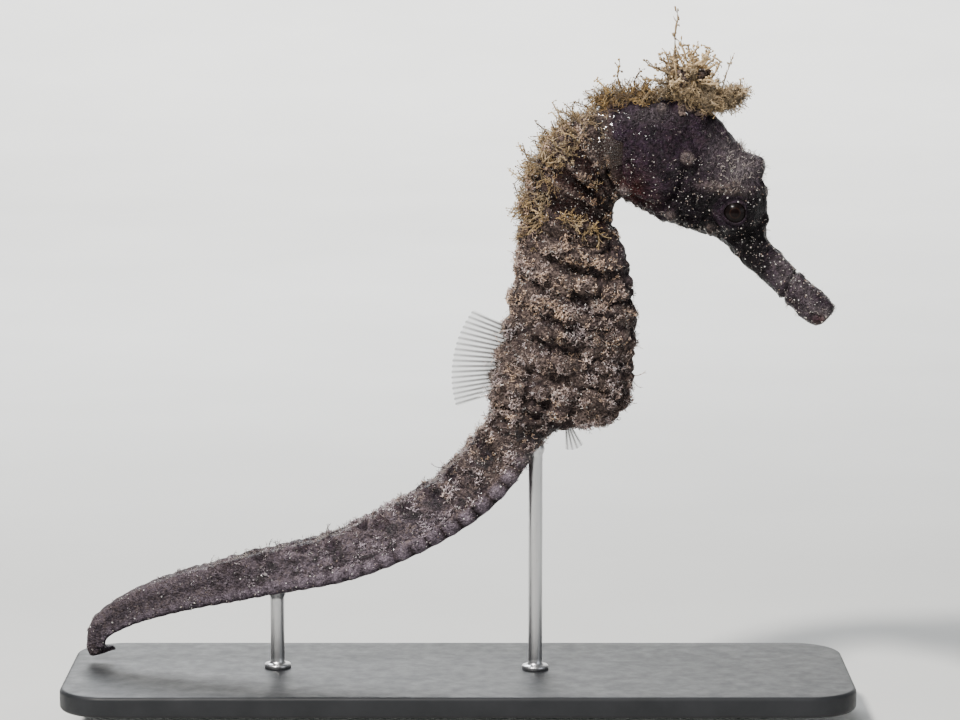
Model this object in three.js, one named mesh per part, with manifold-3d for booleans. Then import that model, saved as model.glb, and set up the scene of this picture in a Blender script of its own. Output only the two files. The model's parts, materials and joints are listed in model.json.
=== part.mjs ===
// A lined seahorse at life size, about 14 cm from crown to uncurled tail tip, held over a flat base by
// two rods. Millimetres, +Z up. The animal faces +X, its right side faces -Y, and the origin is at the
// middle of the base's underside.
import * as THREE from "three";
import { LoftGeometry } from "three/addons/geometries/LoftGeometry.js";
import { mergeVertices } from "three/addons/utils/BufferGeometryUtils.js";
import Module from "manifold-3d";

const wasm = await Module();
wasm.setup();

// ---------------------------------------------------------------- driving dimensions
const GAP = 0.3; // clearance between neighbouring pieces
const TRUNK_RINGS = 11; // bony rings of the species
const TAIL_RINGS = 36;
const TAIL_DEPTH = 9.6; // back to belly, at the root of the tail
const TAIL_TAPER = 0.42; // power of the taper: below 1, most of it comes near the tip
const TAIL_TIP = 0.7; // thickness where the tail ends
const TAIL_SQUARENESS = 0.94; // width over depth
const TAIL_SWAY = 5; // how far the tail tip lies behind the body's middle plane
const GROOVE = 0.03; // how deep the groove between two rings is, as a share of the half depth
const RIDGE_GROOVE = 0.06; // how much deeper it is on the ridges, where the rims carry knobs
const HEAD_TURN = THREE.MathUtils.degToRad(-16); // the head looks a little towards -Y
const NECK_PIVOT = new THREE.Vector2(23, 0); // upright axis of that turn

const EYE = { x: 40.1, z: 69.7, out: 3.1, radius: 2.1 };
const EYE_TURRET = { out: 2.2, radius: 2.8, flatness: 0.8 };
const GILL_COVER = { x: 28.9, z: 76.4, rx: 4.1, rz: 5.4, floor: 2.9 };

const BASE = { length: 112, width: 36, thickness: 3, corner: 7, bevel: 0.5 };
const ROD_RADIUS = 1;
const ROD_PLACES = { stand_rod_front: 11, stand_rod_rear: -26 }; // along X

const FINISHES = {
  hide: { color: "#3b3038", roughness: 0.55, metalness: 0 },
  sand: { color: "#83705c", roughness: 0.9, metalness: 0 },
  tail: { color: "#77696b", roughness: 0.75, metalness: 0 },
  weed: { color: "#a5814d", roughness: 0.85, metalness: 0 },
  fin: { color: "#8d8574", roughness: 0.4, metalness: 0 },
  eye: { color: "#2a1a18", roughness: 0.12, metalness: 0 },
  base: { color: "#1c1d1f", roughness: 0.35, metalness: 0 },
  steel: { color: "#b9bcbf", roughness: 0.3, metalness: 1 },
};

// Body stations from the neck joint to the root of the tail: back x and z, belly x and z, and half width.
const TRUNK_STATIONS = [
  [20.9, 83.9, 23.1, 70.7, 4.6],
  [14.4, 81.3, 22.2, 69.0, 4.7],
  [10.0, 75.9, 22.7, 66.7, 4.9],
  [8.4, 68.2, 24.4, 62.3, 5.4],
  [7.4, 59.5, 25.7, 56.2, 6.2],
  [5.7, 51.0, 25.6, 48.9, 6.6],
  [3.9, 43.9, 23.9, 39.9, 6.0],
  [4.2, 40.6, 14.0, 36.9, 4.9],
];
// The middle line of the tail: x and z.
const TAIL_LINE = [
  [9.1, 38.7],
  [0.4, 28.9],
  [-14.2, 20.7],
  [-28.8, 16.8],
  [-41.8, 13.2],
  [-49.2, 10.0],
  [-52.3, 7.2],
  [-52.2, 4.7],
  [-50.7, 4.1],
  [-49.8, 5.1],
];
// Head stations in the head's own plane, from behind the neck joint on: top x and z, throat x and z,
// half width.
const HEAD_STATIONS = [
  [18.0, 83.6, 22.0, 71.4, 4.4],
  [22.4, 84.6, 24.4, 70.0, 4.9],
  [27.5, 85.3, 28.3, 68.0, 5.3],
  [31.5, 85.2, 31.1, 67.1, 5.2],
  [35.2, 83.9, 33.7, 66.4, 4.8],
  [38.5, 80.5, 35.5, 65.9, 4.4],
  [41.5, 77.2, 37.1, 65.1, 4.2],
  [43.3, 74.1, 38.4, 64.1, 3.8],
  [43.9, 70.9, 39.5, 63.1, 3.3],
  [43.8, 68.2, 40.4, 62.1, 2.6],
];
const SNOUT_STATIONS = [
  [43.9, 66.3, 41.2, 61.4, 2.2],
  [46.8, 63.1, 43.7, 59.3, 2.0],
  [49.7, 60.3, 46.6, 56.8, 1.95],
  [52.5, 58.2, 49.2, 54.3, 2.2],
  [53.8, 56.9, 50.9, 53.6, 1.8],
];

// ---------------------------------------------------------------- cross-sections
// Half outlines from the back's middle to the belly's middle: share of half depth, share of half width.
// The trunk has seven ridges and the tail four. Both outlines have as many points, so that one can turn
// into the other.
const TRUNK_RIM = [
  [0.93, 0],
  [1.0, 0.48],
  [0.55, 0.8],
  [0.1, 1.0],
  [-0.3, 0.86],
  [-0.66, 0.6],
  [-0.88, 0.3],
  [-1.0, 0],
];
const TAIL_RIM = [
  [0.88, 0],
  [1.0, 0.72],
  [0.55, 0.95],
  [0.0, 0.92],
  [-0.5, 0.96],
  [-0.95, 0.78],
  [-0.92, 0.38],
  [-0.9, 0],
];
const HEAD_RIM = [
  [1.0, 0],
  [0.93, 0.34],
  [0.68, 0.7],
  [0.27, 0.94],
  [-0.18, 1.0],
  [-0.6, 0.82],
  [-0.89, 0.45],
  [-1.0, 0],
];
const TRUNK_RIDGES = [1, 3, 5, 7]; // rows of TRUNK_RIM that carry knobs
const TAIL_RIDGES = [1, 5];

const mix = THREE.MathUtils.lerp;
const smooth = THREE.MathUtils.smoothstep;
const UPRIGHT = new THREE.Vector3(0, 0, 1);

// A point turned with the head about the neck's upright axis, by a share of the full turn.
function turned(point, share) {
  const pivot = new THREE.Vector3(NECK_PIVOT.x, NECK_PIVOT.y, 0);
  return point
    .clone()
    .sub(pivot)
    .applyAxisAngle(UPRIGHT, HEAD_TURN * share)
    .add(pivot);
}

// One closed cross-section between a back point and a belly point, down one side (-1 is the right) and
// up the other.
function section({ back, belly, halfWidth }, rim, firstSide) {
  const middle = back.clone().add(belly).multiplyScalar(0.5);
  const half = back.clone().sub(middle);
  const side = (sign) =>
    rim.map(([depth, width]) =>
      middle
        .clone()
        .addScaledVector(half, depth)
        .add(new THREE.Vector3(0, sign * width * halfWidth, 0)),
    );
  return [...side(firstSide), ...side(-firstSide).slice(1, -1).reverse()];
}

// Smooth lines through a table of stations, each read at a place counted in stations.
function stationLines(rows) {
  const last = rows.length - 1;
  const line = (pick) =>
    new THREE.CatmullRomCurve3(rows.map(pick), false, "centripetal");
  const back = line((row) => new THREE.Vector3(row[0], row[5] ?? 0, row[1]));
  const belly = line((row) => new THREE.Vector3(row[2], row[5] ?? 0, row[3]));
  const width = line((row, i) => new THREE.Vector3(i, row[4], 0));
  return (place) => {
    const t = THREE.MathUtils.clamp(place / last, 0, 1);
    return {
      back: back.getPoint(t),
      belly: belly.getPoint(t),
      halfWidth: width.getPoint(t).y,
    };
  };
}

// ---------------------------------------------------------------- the body's lines
const tailLine = new THREE.CatmullRomCurve3(
  TAIL_LINE.map(([x, z]) => new THREE.Vector3(x, 0, z)),
  false,
  "centripetal",
);
const TAIL_START = TRUNK_STATIONS.length - 1;
const TAIL_STATIONS = 24;

// The tail's depth at r, from 0 at its root to 1 at its tip.
function tailDepth(r) {
  return Math.max(TAIL_TIP, TAIL_DEPTH * (1 - r) ** TAIL_TAPER);
}

function tailStation(r) {
  const middle = tailLine.getPointAt(r);
  const heading = tailLine.getTangentAt(r);
  const half = tailDepth(r) / 2;
  const up = new THREE.Vector3(heading.z, 0, -heading.x).multiplyScalar(half);
  const back = middle.clone().add(up);
  const belly = middle.clone().sub(up);
  const sway = TAIL_SWAY * smooth(r, 0.35, 1.05);
  return [back.x, back.z, belly.x, belly.z, TAIL_SQUARENESS * half, sway];
}

const bodyAt = stationLines([
  ...TRUNK_STATIONS,
  ...Array.from({ length: TAIL_STATIONS }, (_, i) =>
    tailStation((i + 1) / TAIL_STATIONS),
  ),
]);
const headAt = stationLines([...HEAD_STATIONS, ...SNOUT_STATIONS]);
const BODY_END = TAIL_START + TAIL_STATIONS;
const HEAD_END = HEAD_STATIONS.length + SNOUT_STATIONS.length - 1;

// Where the ring with this number starts, counted in stations. Tail rings shorten towards the tip.
const FIRST_RING = 1.5;
const RING_SHORTENING = 1.25;
function ringStart(ring) {
  if (ring <= TRUNK_RINGS)
    return mix(FIRST_RING, TAIL_START, ring / TRUNK_RINGS);
  const share = (ring - TRUNK_RINGS) / TAIL_RINGS;
  return TAIL_START + TAIL_STATIONS * (1 - (1 - share) ** RING_SHORTENING);
}

// How much of the head's turn the body takes at a place: all at the joint, none past the neck.
const NECK_END = 1.7;
const headTurnAt = (place) => Math.max(0, 1 - place / NECK_END) ** 2;

// The body's cross-section at a place: groove is 1 between two rings and 0 on a ring's rim.
function bodySection(place, groove) {
  const tailness = smooth(place, TAIL_START - 1, TAIL_START + 1.5);
  const rim = TRUNK_RIM.map(([depth, width], row) => {
    const ridge = mix(
      TRUNK_RIDGES.includes(row) ? 1 : 0,
      TAIL_RIDGES.includes(row) ? 1 : 0,
      tailness,
    );
    const size = 1 - groove * (GROOVE + RIDGE_GROOVE * ridge);
    return [
      mix(depth, TAIL_RIM[row][0], tailness) * size,
      mix(width, TAIL_RIM[row][1], tailness) * size,
    ];
  });
  const share = headTurnAt(place);
  return section(bodyAt(place), rim, 1).map((point) => turned(point, share));
}

// Every cross-section of the body from the neck to the tail tip: a groove and a rim for each ring.
function bodySections() {
  const places = [0, 0.5, 1].map((place) => ({ place, groove: 0.5 }));
  const rings = TRUNK_RINGS + TAIL_RINGS;
  for (let ring = 0; ring < rings; ring++) {
    const start = ringStart(ring);
    const end = ringStart(ring + 1);
    places.push({ place: start, groove: 1 });
    places.push({ place: mix(start, end, 0.55), groove: 0 });
  }
  places.push({ place: BODY_END, groove: 0 });
  return places;
}

// ---------------------------------------------------------------- solids
function solidOf({ attributes, index }) {
  const bare = new THREE.BufferGeometry();
  bare.setAttribute("position", attributes.position);
  bare.setIndex(index);
  const merged = mergeVertices(bare, 1e-4);
  return new wasm.Manifold(
    new wasm.Mesh({
      numProp: 3,
      vertProperties: new Float32Array(merged.attributes.position.array),
      triVerts: new Uint32Array(merged.index.array),
    }),
  );
}

function geometryOf(solid) {
  const { vertProperties, triVerts } = solid.getMesh();
  const geometry = new THREE.BufferGeometry();
  geometry.setAttribute("position", new THREE.BufferAttribute(vertProperties, 3));
  geometry.setIndex(new THREE.BufferAttribute(triVerts, 1));
  geometry.computeVertexNormals();
  return geometry;
}

const loft = (sections) =>
  solidOf(new LoftGeometry(sections, { capStart: true, capEnd: true }));
const union = (solids) => solids.reduce((whole, solid) => whole.add(solid));
const moved = (solid, x, y, z) => solid.translate([x, y, z]);
const mirrored = (solid) => solid.mirror([0, 1, 0]);
const largest = (solid) =>
  solid.decompose().sort((a, b) => b.volume() - a.volume())[0];

// A solid turned with the head.
function onHead(solid) {
  const degrees = THREE.MathUtils.radToDeg(HEAD_TURN);
  const centred = moved(solid, -NECK_PIVOT.x, -NECK_PIVOT.y, 0);
  return moved(
    centred.rotate([0, 0, degrees]),
    NECK_PIVOT.x,
    NECK_PIVOT.y,
    0,
  );
}

// Takes the neighbours away from a solid, where they are and moved by the clearance the given way.
function clearOf(solid, neighbours, way) {
  const step = new THREE.Vector3(...way).setLength(GAP).toArray();
  const cut = neighbours.reduce(
    (left, other) => left.subtract(other).subtract(moved(other, ...step)),
    solid,
  );
  return largest(cut);
}

// The plane of the body's cross-section at a place: a unit normal towards the tail, and its distance
// from the origin.
function planeAt(place) {
  const points = bodySection(place, 0);
  const depth = points[0].clone().sub(points[7]);
  const width = points[3].clone().sub(points[11]);
  const normal = new THREE.Vector3().crossVectors(depth, width).normalize();
  const ahead = bodyAt(place + 0.1).back.sub(bodyAt(place).back);
  if (normal.dot(ahead) < 0) normal.negate();
  return { normal, distance: normal.dot(points[0]) };
}

// The part of a solid that lies on the tail's side (way 1) or the head's side (way -1) of the plane at a place.
function trimmed(solid, place, way) {
  const { normal, distance } = planeAt(place);
  const towards = normal.clone().multiplyScalar(way);
  return solid.trimByPlane(towards.toArray(), way * distance + GAP / 2);
}

// A length of the body between two places, with half the clearance taken off each end that has a neighbour.
function bodyLength(from, to) {
  const all = bodySections();
  const first = Math.max(0, all.findIndex((s) => s.place > from + 1e-6) - 2);
  const last = all.findIndex((s) => s.place >= to - 1e-6) + 1;
  const used = all.slice(first, last + 1);
  let solid = loft(used.map(({ place, groove }) => bodySection(place, groove)));
  solid = trimmed(solid, from, 1);
  return to < BODY_END ? trimmed(solid, to, -1) : solid;
}

// A blunt knob or spine, from inside the flesh out to its tip.
function knob(foot, towards, length, radius) {
  const cone = new THREE.CylinderGeometry(radius * 0.4, radius, length, 6);
  cone.translate(0, length / 2, 0);
  const up = new THREE.Vector3(0, 1, 0);
  const aim = new THREE.Vector3(...towards).normalize();
  cone.applyQuaternion(new THREE.Quaternion().setFromUnitVectors(up, aim));
  cone.translate(...foot);
  return solidOf(cone);
}

function ball(centre, radii, detail) {
  const sphere = new THREE.IcosahedronGeometry(1, detail);
  sphere.scale(...radii);
  sphere.translate(...centre);
  return solidOf(sphere);
}

// A tapering, gently bent frond of weed or skin, four-sided.
function frond(foot, towards, length, radius, bend) {
  const [steps, corners, taper] = [2, 4, 0.6];
  const start = new THREE.Vector3(...foot);
  const aim = new THREE.Vector3(...towards).normalize();
  const tip = start.clone().addScaledVector(aim, length);
  const middle = start.clone().lerp(tip, 0.5).add(new THREE.Vector3(...bend));
  const line = new THREE.QuadraticBezierCurve3(start, middle, tip);
  const frames = line.computeFrenetFrames(steps, false);
  const sections = Array.from({ length: steps + 1 }, (_, i) => {
    const share = i / steps;
    const size = radius * mix(1, taper, share);
    return Array.from({ length: corners }, (_, corner) => {
      const angle = (corner / corners) * 2 * Math.PI;
      return line
        .getPointAt(share)
        .addScaledVector(frames.normals[i], size * Math.cos(angle))
        .addScaledVector(frames.binormals[i], size * Math.sin(angle));
    });
  });
  return loft(sections);
}

// ---------------------------------------------------------------- head
function headLoft(from, to, steps) {
  return loft(
    Array.from({ length: steps + 1 }, (_, i) =>
      section(headAt(mix(from, to, i / steps)), HEAD_RIM, -1),
    ),
  );
}

const SNOUT_ROOT = HEAD_STATIONS.length - 0.4;

// Knobs on one side of the head: foot, direction, length and foot radius.
const HEAD_KNOBS = [
  [[34.0, -3.7, 77.7], [0.1, -1, -0.2], 2.2, 1.1],
  [[40.2, -3.2, 72.2], [0.15, -0.7, 0.8], 1.9, 0.9],
  [[24.6, -3.6, 72.6], [-0.1, -1, -0.5], 1.9, 0.8],
  [[29.6, -2.6, 83.0], [0, -0.8, 0.8], 2.0, 0.8],
];
// The same on the middle of the face: brow and nose.
const FACE_KNOBS = [
  [[41.4, 0, 75.8], [1, 0, 0.2], 2.2, 1.2],
  [[42.6, 0, 68.3], [1, 0, 0.2], 1.7, 0.9],
];

function gillCoverCutter(margin) {
  const outline = new THREE.Shape();
  const { x, z, rx, rz, floor } = GILL_COVER;
  outline.absellipse(x, z, rx + margin, rz + margin, 0, 2 * Math.PI, false);
  const prism = new THREE.ExtrudeGeometry(outline, {
    depth: 6,
    bevelEnabled: false,
    curveSegments: 8,
  });
  prism.rotateX(Math.PI / 2); // stands the outline up, with the prism growing towards -Y
  prism.translate(0, margin - floor, 0);
  return solidOf(prism);
}

function makeHead() {
  const skull = headLoft(0, SNOUT_ROOT, 11);
  const { out, radius, flatness } = EYE_TURRET;
  const radii = [radius, radius * flatness, radius];
  const turret = ball([EYE.x, -out, EYE.z], radii, 2);
  const oneSide = union([turret, ...HEAD_KNOBS.map((row) => knob(...row))]);
  const face = FACE_KNOBS.map((row) => knob(...row));
  return union([skull, oneSide, mirrored(oneSide), ...face]);
}

// The right eyeball, or its socket when it is given a margin.
function makeEye(margin) {
  const radius = EYE.radius + margin;
  return ball([EYE.x, -EYE.out, EYE.z], [radius, radius, radius], 2);
}

// The snout and the small trapdoor jaw under its tip, parted by one thin slanting cut.
const MOUTH = { x: 52.2, z: 55.1, slant: THREE.MathUtils.degToRad(18), length: 4.5 };

function makeSnoutAndJaw() {
  const whole = headLoft(SNOUT_ROOT + 0.12, HEAD_END, 8);
  const cut = new THREE.BoxGeometry(2 * MOUTH.length, 8, GAP);
  cut.translate(1.4 - MOUTH.length, 0, 0);
  cut.rotateY(MOUTH.slant);
  cut.translate(MOUTH.x, 0, MOUTH.z);
  const pieces = whole
    .subtract(solidOf(cut))
    .decompose()
    .sort((a, b) => b.volume() - a.volume());
  return { snout: pieces[0], jaw: pieces[1] };
}

// ---------------------------------------------------------------- crown and mane
const CROWN = { x: 32.8, z: 84.4, height: 4.6, radius: 2.1, points: 5 };
// Lobes of the weed that grows around the crown and out over the brow: middle and radii.
const CROWN_LOBES = [
  [[30.5, 0, 86.1], [2.2, 2.3, 1.5]],
  [[32.5, 0, 86.4], [2.4, 3.6, 2.1]],
  [[35.1, 0, 85.3], [2.6, 3.1, 2.4]],
  [[38.0, 0, 85.3], [2.3, 2.3, 1.7]],
  [[40.0, 0, 86.4], [1.6, 1.6, 1.3]],
];
const CROWN_FRONDS = 13;
const GOLDEN_ANGLE = Math.PI * (3 - Math.sqrt(5));

// The bony crown: a flared stalk with blunt points around its rim.
function makeBareCrown() {
  const { x, z, height, radius, points } = CROWN;
  const profile = [
    [0, -1.6],
    [radius * 1.15, -1.6],
    [radius * 0.85, height * 0.4],
    [radius, height * 0.8],
    [radius * 0.5, height * 0.9],
    [0, height * 0.8],
  ].map(([r, h]) => new THREE.Vector2(r, h));
  const stalk = new THREE.LatheGeometry(profile, 8);
  stalk.rotateX(Math.PI / 2);
  stalk.translate(x, 0, z);
  const spines = Array.from({ length: points }, (_, i) => {
    const angle = ((i + 0.5) / points) * 2 * Math.PI;
    const [dx, dy] = [Math.cos(angle), Math.sin(angle)];
    const foot = [x + dx * radius * 0.6, dy * radius * 0.6, z + height * 0.55];
    return knob(foot, [dx, dy, 1.1], 2.5, 0.75);
  });
  return union([solidOf(stalk), ...spines]);
}

// The crown with the weed that has rooted on it.
function makeCoronet() {
  const lobes = CROWN_LOBES.map(([centre, radii]) => ball(centre, radii, 1));
  const fronds = Array.from({ length: CROWN_FRONDS }, (_, i) => {
    const share = (i + 0.5) / CROWN_FRONDS;
    const angle = i * GOLDEN_ANGLE;
    const lean = 0.15 + 0.65 * share;
    const [dx, dy] = [Math.cos(angle) * lean, Math.sin(angle) * lean * 0.8];
    const foot = [32.2 + 2.2 * dx, 2.4 * dy, 87];
    const length = 3.8 + 2.4 * (1 - share) + (i % 3) * 0.7;
    return frond(foot, [dx, dy, 1], length, 0.5, [dy * 0.8, -dx * 0.8, 0.3]);
  });
  const wisps = [
    frond([31.6, 0, 88], [-0.26, -0.02, 1], 10.4, 0.5, [-0.6, 0, 0.4]),
    frond([37.4, -0.6, 86.2], [0.12, -0.1, 1], 6.2, 0.4, [0.2, 0, 0]),
    frond([30.6, -1.0, 86.4], [-0.9, -0.2, 0.62], 6.0, 0.45, [0.2, 0, 0.4]),
  ];
  return union([makeBareCrown(), ...lobes, ...fronds, ...wisps]);
}

// The mane: a saddle of weed over the back of the neck, thickest where the nape bends.
const MANE = { from: 0.05, to: 3.3, edge: 0.6, thickness: 1.9, steps: 8, lining: 0.4 };
const MANE_ROWS = [2, 1, 0, 1, 2]; // the rows of TRUNK_RIM that it lies over, from one flank to the other
const MANE_FRONDS = 15;
// Where the mane runs on over the back of the head. Fronds have a foot, direction, length, radius and bend.
const NAPE_LOBES = [
  [[22.4, 0, 85.4], [3.0, 2.6, 1.6]],
  [[25.6, 0, 85.7], [2.0, 2.0, 1.3]],
];
const NAPE_FRONDS = [
  [[23.2, 0.4, 85.6], [-0.5, 0.1, 1], 5.2, 0.5, [0.3, 0, 0.3]],
  [[22.4, -1.0, 85.2], [-0.9, -0.2, 1], 4.0, 0.45, [0, -0.3, 0.3]],
  [[25.0, 0.6, 86.0], [-0.1, 0.2, 1], 3.0, 0.45, [0.2, 0, 0.1]],
  [[26.4, 0.6, 86.0], [0.1, 0.3, 1], 2.2, 0.42, [0, 0.2, 0.1]],
];

// One row of points over the back, a given distance off the body.
function maneRow(place, off) {
  const { back, belly, halfWidth } = bodyAt(place);
  const middle = back.clone().add(belly).multiplyScalar(0.5);
  const up = back.clone().sub(middle);
  const half = up.length();
  up.normalize();
  return MANE_ROWS.map((row, i) => {
    const side = Math.sign(i - 2);
    const across = side * TRUNK_RIM[row][1] * (halfWidth + off);
    const point = middle
      .clone()
      .addScaledVector(up, TRUNK_RIM[row][0] * (half + off))
      .add(new THREE.Vector3(0, across, 0));
    return turned(point, headTurnAt(place));
  });
}

// How far the mane's outside lies off the body, from 0 at the head to 1 at its lower end.
function maneLift(share) {
  const bulge = Math.sin(Math.PI * mix(0.15, 1, share));
  return MANE.lining + MANE.edge + MANE.thickness * bulge;
}

function makeMane(head) {
  const sections = Array.from({ length: MANE.steps + 1 }, (_, i) => {
    const share = i / MANE.steps;
    const place = mix(MANE.from, MANE.to, share);
    const outer = maneRow(place, maneLift(share));
    const inner = maneRow(place, MANE.lining).reverse();
    return [...outer, ...inner];
  });
  const fronds = Array.from({ length: MANE_FRONDS }, (_, i) => {
    const share = mix(0.04, 0.9, (i + 0.5) / MANE_FRONDS);
    const place = mix(MANE.from, MANE.to, share);
    const column = (2 * i + 1) % MANE_ROWS.length;
    const root = maneRow(place, MANE.lining + 0.3)[column];
    const out = maneRow(place, MANE.lining + 3)[column].sub(root).normalize();
    out.z += 0.3 * (1 - share);
    const onFlank = Math.abs(column - 2) / 2;
    const onRidge = 1 + Math.sin(Math.PI * share) * (i % 3);
    const reach = maneLift(share) + mix(onRidge, 0.5, onFlank);
    const sag = [0, 0.3 * Math.cos(i * GOLDEN_ANGLE), 0.25];
    return frond(root.toArray(), out.toArray(), reach, 0.45, sag);
  });
  const napeLobes = NAPE_LOBES.map(([centre, radii]) => ball(centre, radii, 1));
  const napeFronds = NAPE_FRONDS.map((row) => frond(...row));
  const nape = onHead(union([...napeLobes, ...napeFronds]));
  return clearOf(union([loft(sections), ...fronds, nape]), [head], [0, 0, 1]);
}

// ---------------------------------------------------------------- fins
// A fan of rays: each ray is a rib on the web. The root runs along `root`, the rays fan out around `out`.
function fin({ root, out, spread, length, rays, web, rib, arch }) {
  const [from, to] = root.map((p) => new THREE.Vector3(...p));
  const along = to.clone().sub(from).normalize();
  const away = new THREE.Vector3(...out).normalize();
  const thin = new THREE.Vector3().crossVectors(along, away).normalize();
  const sections = [];
  const steps = 2 * rays;
  for (let i = 0; i <= steps; i++) {
    const share = i / steps;
    const isRay = i % 2 === 1;
    const half = (isRay ? rib : web) / 2;
    const fan = (share - 0.5) * spread;
    const aim = away.clone().applyAxisAngle(thin, fan);
    const reach = length * (1 - arch * (2 * share - 1) ** 2);
    const foot = from.clone().lerp(to, share).addScaledVector(aim, -1.2);
    const tip = from
      .clone()
      .lerp(to, share)
      .addScaledVector(aim, reach - (isRay ? 0 : 0.25));
    sections.push([
      foot.clone().addScaledVector(thin, half),
      foot.clone().addScaledVector(thin, -half),
      tip.clone().addScaledVector(thin, -half),
      tip.clone().addScaledVector(thin, half),
    ]);
  }
  return loft(sections);
}

const DORSAL_FIN = {
  root: [
    [6.4, 0, 53.0],
    [4.2, 0, 42.6],
  ],
  out: [-1, 0, 0.06],
  spread: -0.75,
  length: 6.2,
  rays: 18,
  web: 0.5,
  rib: 0.75,
  arch: 0.22,
};
const ANAL_FIN = {
  root: [
    [16.9, 0, 37.1],
    [15.2, 0, 36.6],
  ],
  out: [0.3, 0, -1],
  spread: -0.6,
  length: 2.0,
  rays: 4,
  web: 0.5,
  rib: 0.65,
  arch: 0.2,
};
// The right one, in the head's own plane.
const PECTORAL_FIN = {
  root: [
    [23.4, -5.1, 79.5],
    [23.9, -5.1, 75.9],
  ],
  out: [-0.86, -0.5, 0.1],
  spread: -0.75,
  length: 3.9,
  rays: 10,
  web: 0.5,
  rib: 0.62,
  arch: 0.2,
};

// ---------------------------------------------------------------- stand
function makeBase() {
  const { length, width, thickness, corner, bevel } = BASE;
  const [x, y] = [length / 2 - bevel, width / 2 - bevel];
  const r = corner - bevel;
  const outline = new THREE.Shape();
  outline.absarc(x - r, y - r, r, 0, Math.PI / 2, false);
  outline.absarc(-x + r, y - r, r, Math.PI / 2, Math.PI, false);
  outline.absarc(-x + r, -y + r, r, Math.PI, 1.5 * Math.PI, false);
  outline.absarc(x - r, -y + r, r, 1.5 * Math.PI, 2 * Math.PI, false);
  const plate = new THREE.ExtrudeGeometry(outline, {
    depth: thickness - 2 * bevel,
    bevelThickness: bevel,
    bevelSize: bevel,
    bevelSegments: 1,
    curveSegments: 4,
  });
  plate.translate(0, 0, bevel);
  return solidOf(plate);
}

// A rod from the base up to the underside of the body above it.
function makeRod(x, y, body) {
  const height = 60;
  const rod = new THREE.CylinderGeometry(ROD_RADIUS, ROD_RADIUS, height, 20);
  rod.rotateX(Math.PI / 2);
  rod.translate(x, y, height / 2 + BASE.thickness + GAP);
  const pieces = body.reduce(
    (cut, part) => cut.subtract(part).subtract(moved(part, 0, 0, -GAP)),
    solidOf(rod),
  );
  const lowest = (solid) => solid.boundingBox().min[2];
  return pieces.decompose().sort((a, b) => lowest(a) - lowest(b))[0];
}

// ---------------------------------------------------------------- assembly
const PARTINGS = {
  neck: [0, ringStart(0)],
  trunk_upper: [ringStart(0), ringStart(4)],
  trunk_middle: [ringStart(4), ringStart(8)],
  trunk_lower: [ringStart(8), ringStart(11)],
  tail_root: [ringStart(11), ringStart(18)],
  tail_upper: [ringStart(18), ringStart(25)],
  tail_middle: [ringStart(25), ringStart(32)],
  tail_lower: [ringStart(32), ringStart(39)],
  tail_tip: [ringStart(39), BODY_END],
};

// How far behind the middle plane the tail lies at a place along X.
function swayAt(x) {
  const samples = Array.from({ length: 60 }, (_, i) =>
    mix(TAIL_START, BODY_END, i / 60),
  );
  const middle = (place) => {
    const { back, belly } = bodyAt(place);
    return back.add(belly).multiplyScalar(0.5);
  };
  const near = samples
    .map(middle)
    .sort((a, b) => Math.abs(a.x - x) - Math.abs(b.x - x));
  return near[0].y;
}

function makeAnimal() {
  const flesh = Object.fromEntries(
    Object.entries(PARTINGS).map(([name, [from, to]]) => [
      name,
      bodyLength(from, to),
    ]),
  );

  const wholeHead = makeHead();
  const cover = wholeHead.intersect(gillCoverCutter(0));
  const recess = gillCoverCutter(GAP);
  const socket = makeEye(GAP);
  const bareHead = wholeHead
    .subtract(union([recess, mirrored(recess)]))
    .subtract(union([socket, mirrored(socket)]));
  const { snout, jaw } = makeSnoutAndJaw();

  const head = largest(trimmed(onHead(bareHead), 0, -1));
  const rightCover = largest(trimmed(onHead(cover), 0, -1));
  const leftCover = largest(trimmed(onHead(mirrored(cover)), 0, -1));
  const mane = makeMane(head);
  const trunk = [flesh.trunk_upper, flesh.trunk_middle, flesh.trunk_lower];
  const pelvis = [flesh.trunk_lower, flesh.tail_root];
  const pectoral = fin(PECTORAL_FIN);
  const shoulder = [head, flesh.neck, flesh.trunk_upper, mane];
  const rightShoulder = [...shoulder, rightCover];
  const leftShoulder = [...shoulder, leftCover];
  return {
    ...flesh,
    head,
    gill_cover_right: rightCover,
    gill_cover_left: leftCover,
    snout: onHead(snout),
    lower_jaw: onHead(jaw),
    eye_right: onHead(makeEye(0)),
    eye_left: onHead(mirrored(makeEye(0))),
    coronet: clearOf(onHead(makeCoronet()), [head], [0, 0, 1]),
    mane,
    dorsal_fin: clearOf(fin(DORSAL_FIN), trunk, [-1, 0, 0]),
    anal_fin: clearOf(fin(ANAL_FIN), pelvis, [0.7, 0, -0.7]),
    pectoral_fin_right: clearOf(onHead(pectoral), rightShoulder, [-0.5, -1, 0]),
    pectoral_fin_left: clearOf(onHead(mirrored(pectoral)), leftShoulder, [-0.5, 1, 0]),
  };
}

const animal = makeAnimal();
const underside = [
  animal.trunk_lower,
  animal.tail_root,
  animal.tail_upper,
  animal.tail_middle,
  animal.tail_lower,
];
const stand = { stand_base: makeBase() };
for (const [name, x] of Object.entries(ROD_PLACES))
  stand[name] = makeRod(x, swayAt(x), underside);

// Which finish a piece has, by the start of its name.
const FINISH_OF = [
  [/^(head|gill|snout|lower_jaw|neck)/, "hide"],
  [/^trunk/, "sand"],
  [/^tail/, "tail"],
  [/^(coronet|mane)/, "weed"],
  [/_fin/, "fin"],
  [/^eye/, "eye"],
  [/^stand_base/, "base"],
  [/^stand_rod/, "steel"],
];

const model = new THREE.Group();
for (const [name, solid] of Object.entries({ ...animal, ...stand })) {
  const [, finish] = FINISH_OF.find(([pattern]) => pattern.test(name));
  const material = new THREE.MeshStandardMaterial(FINISHES[finish]);
  const mesh = new THREE.Mesh(geometryOf(solid), material);
  mesh.name = name;
  model.add(mesh);
}

export default model;
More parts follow.
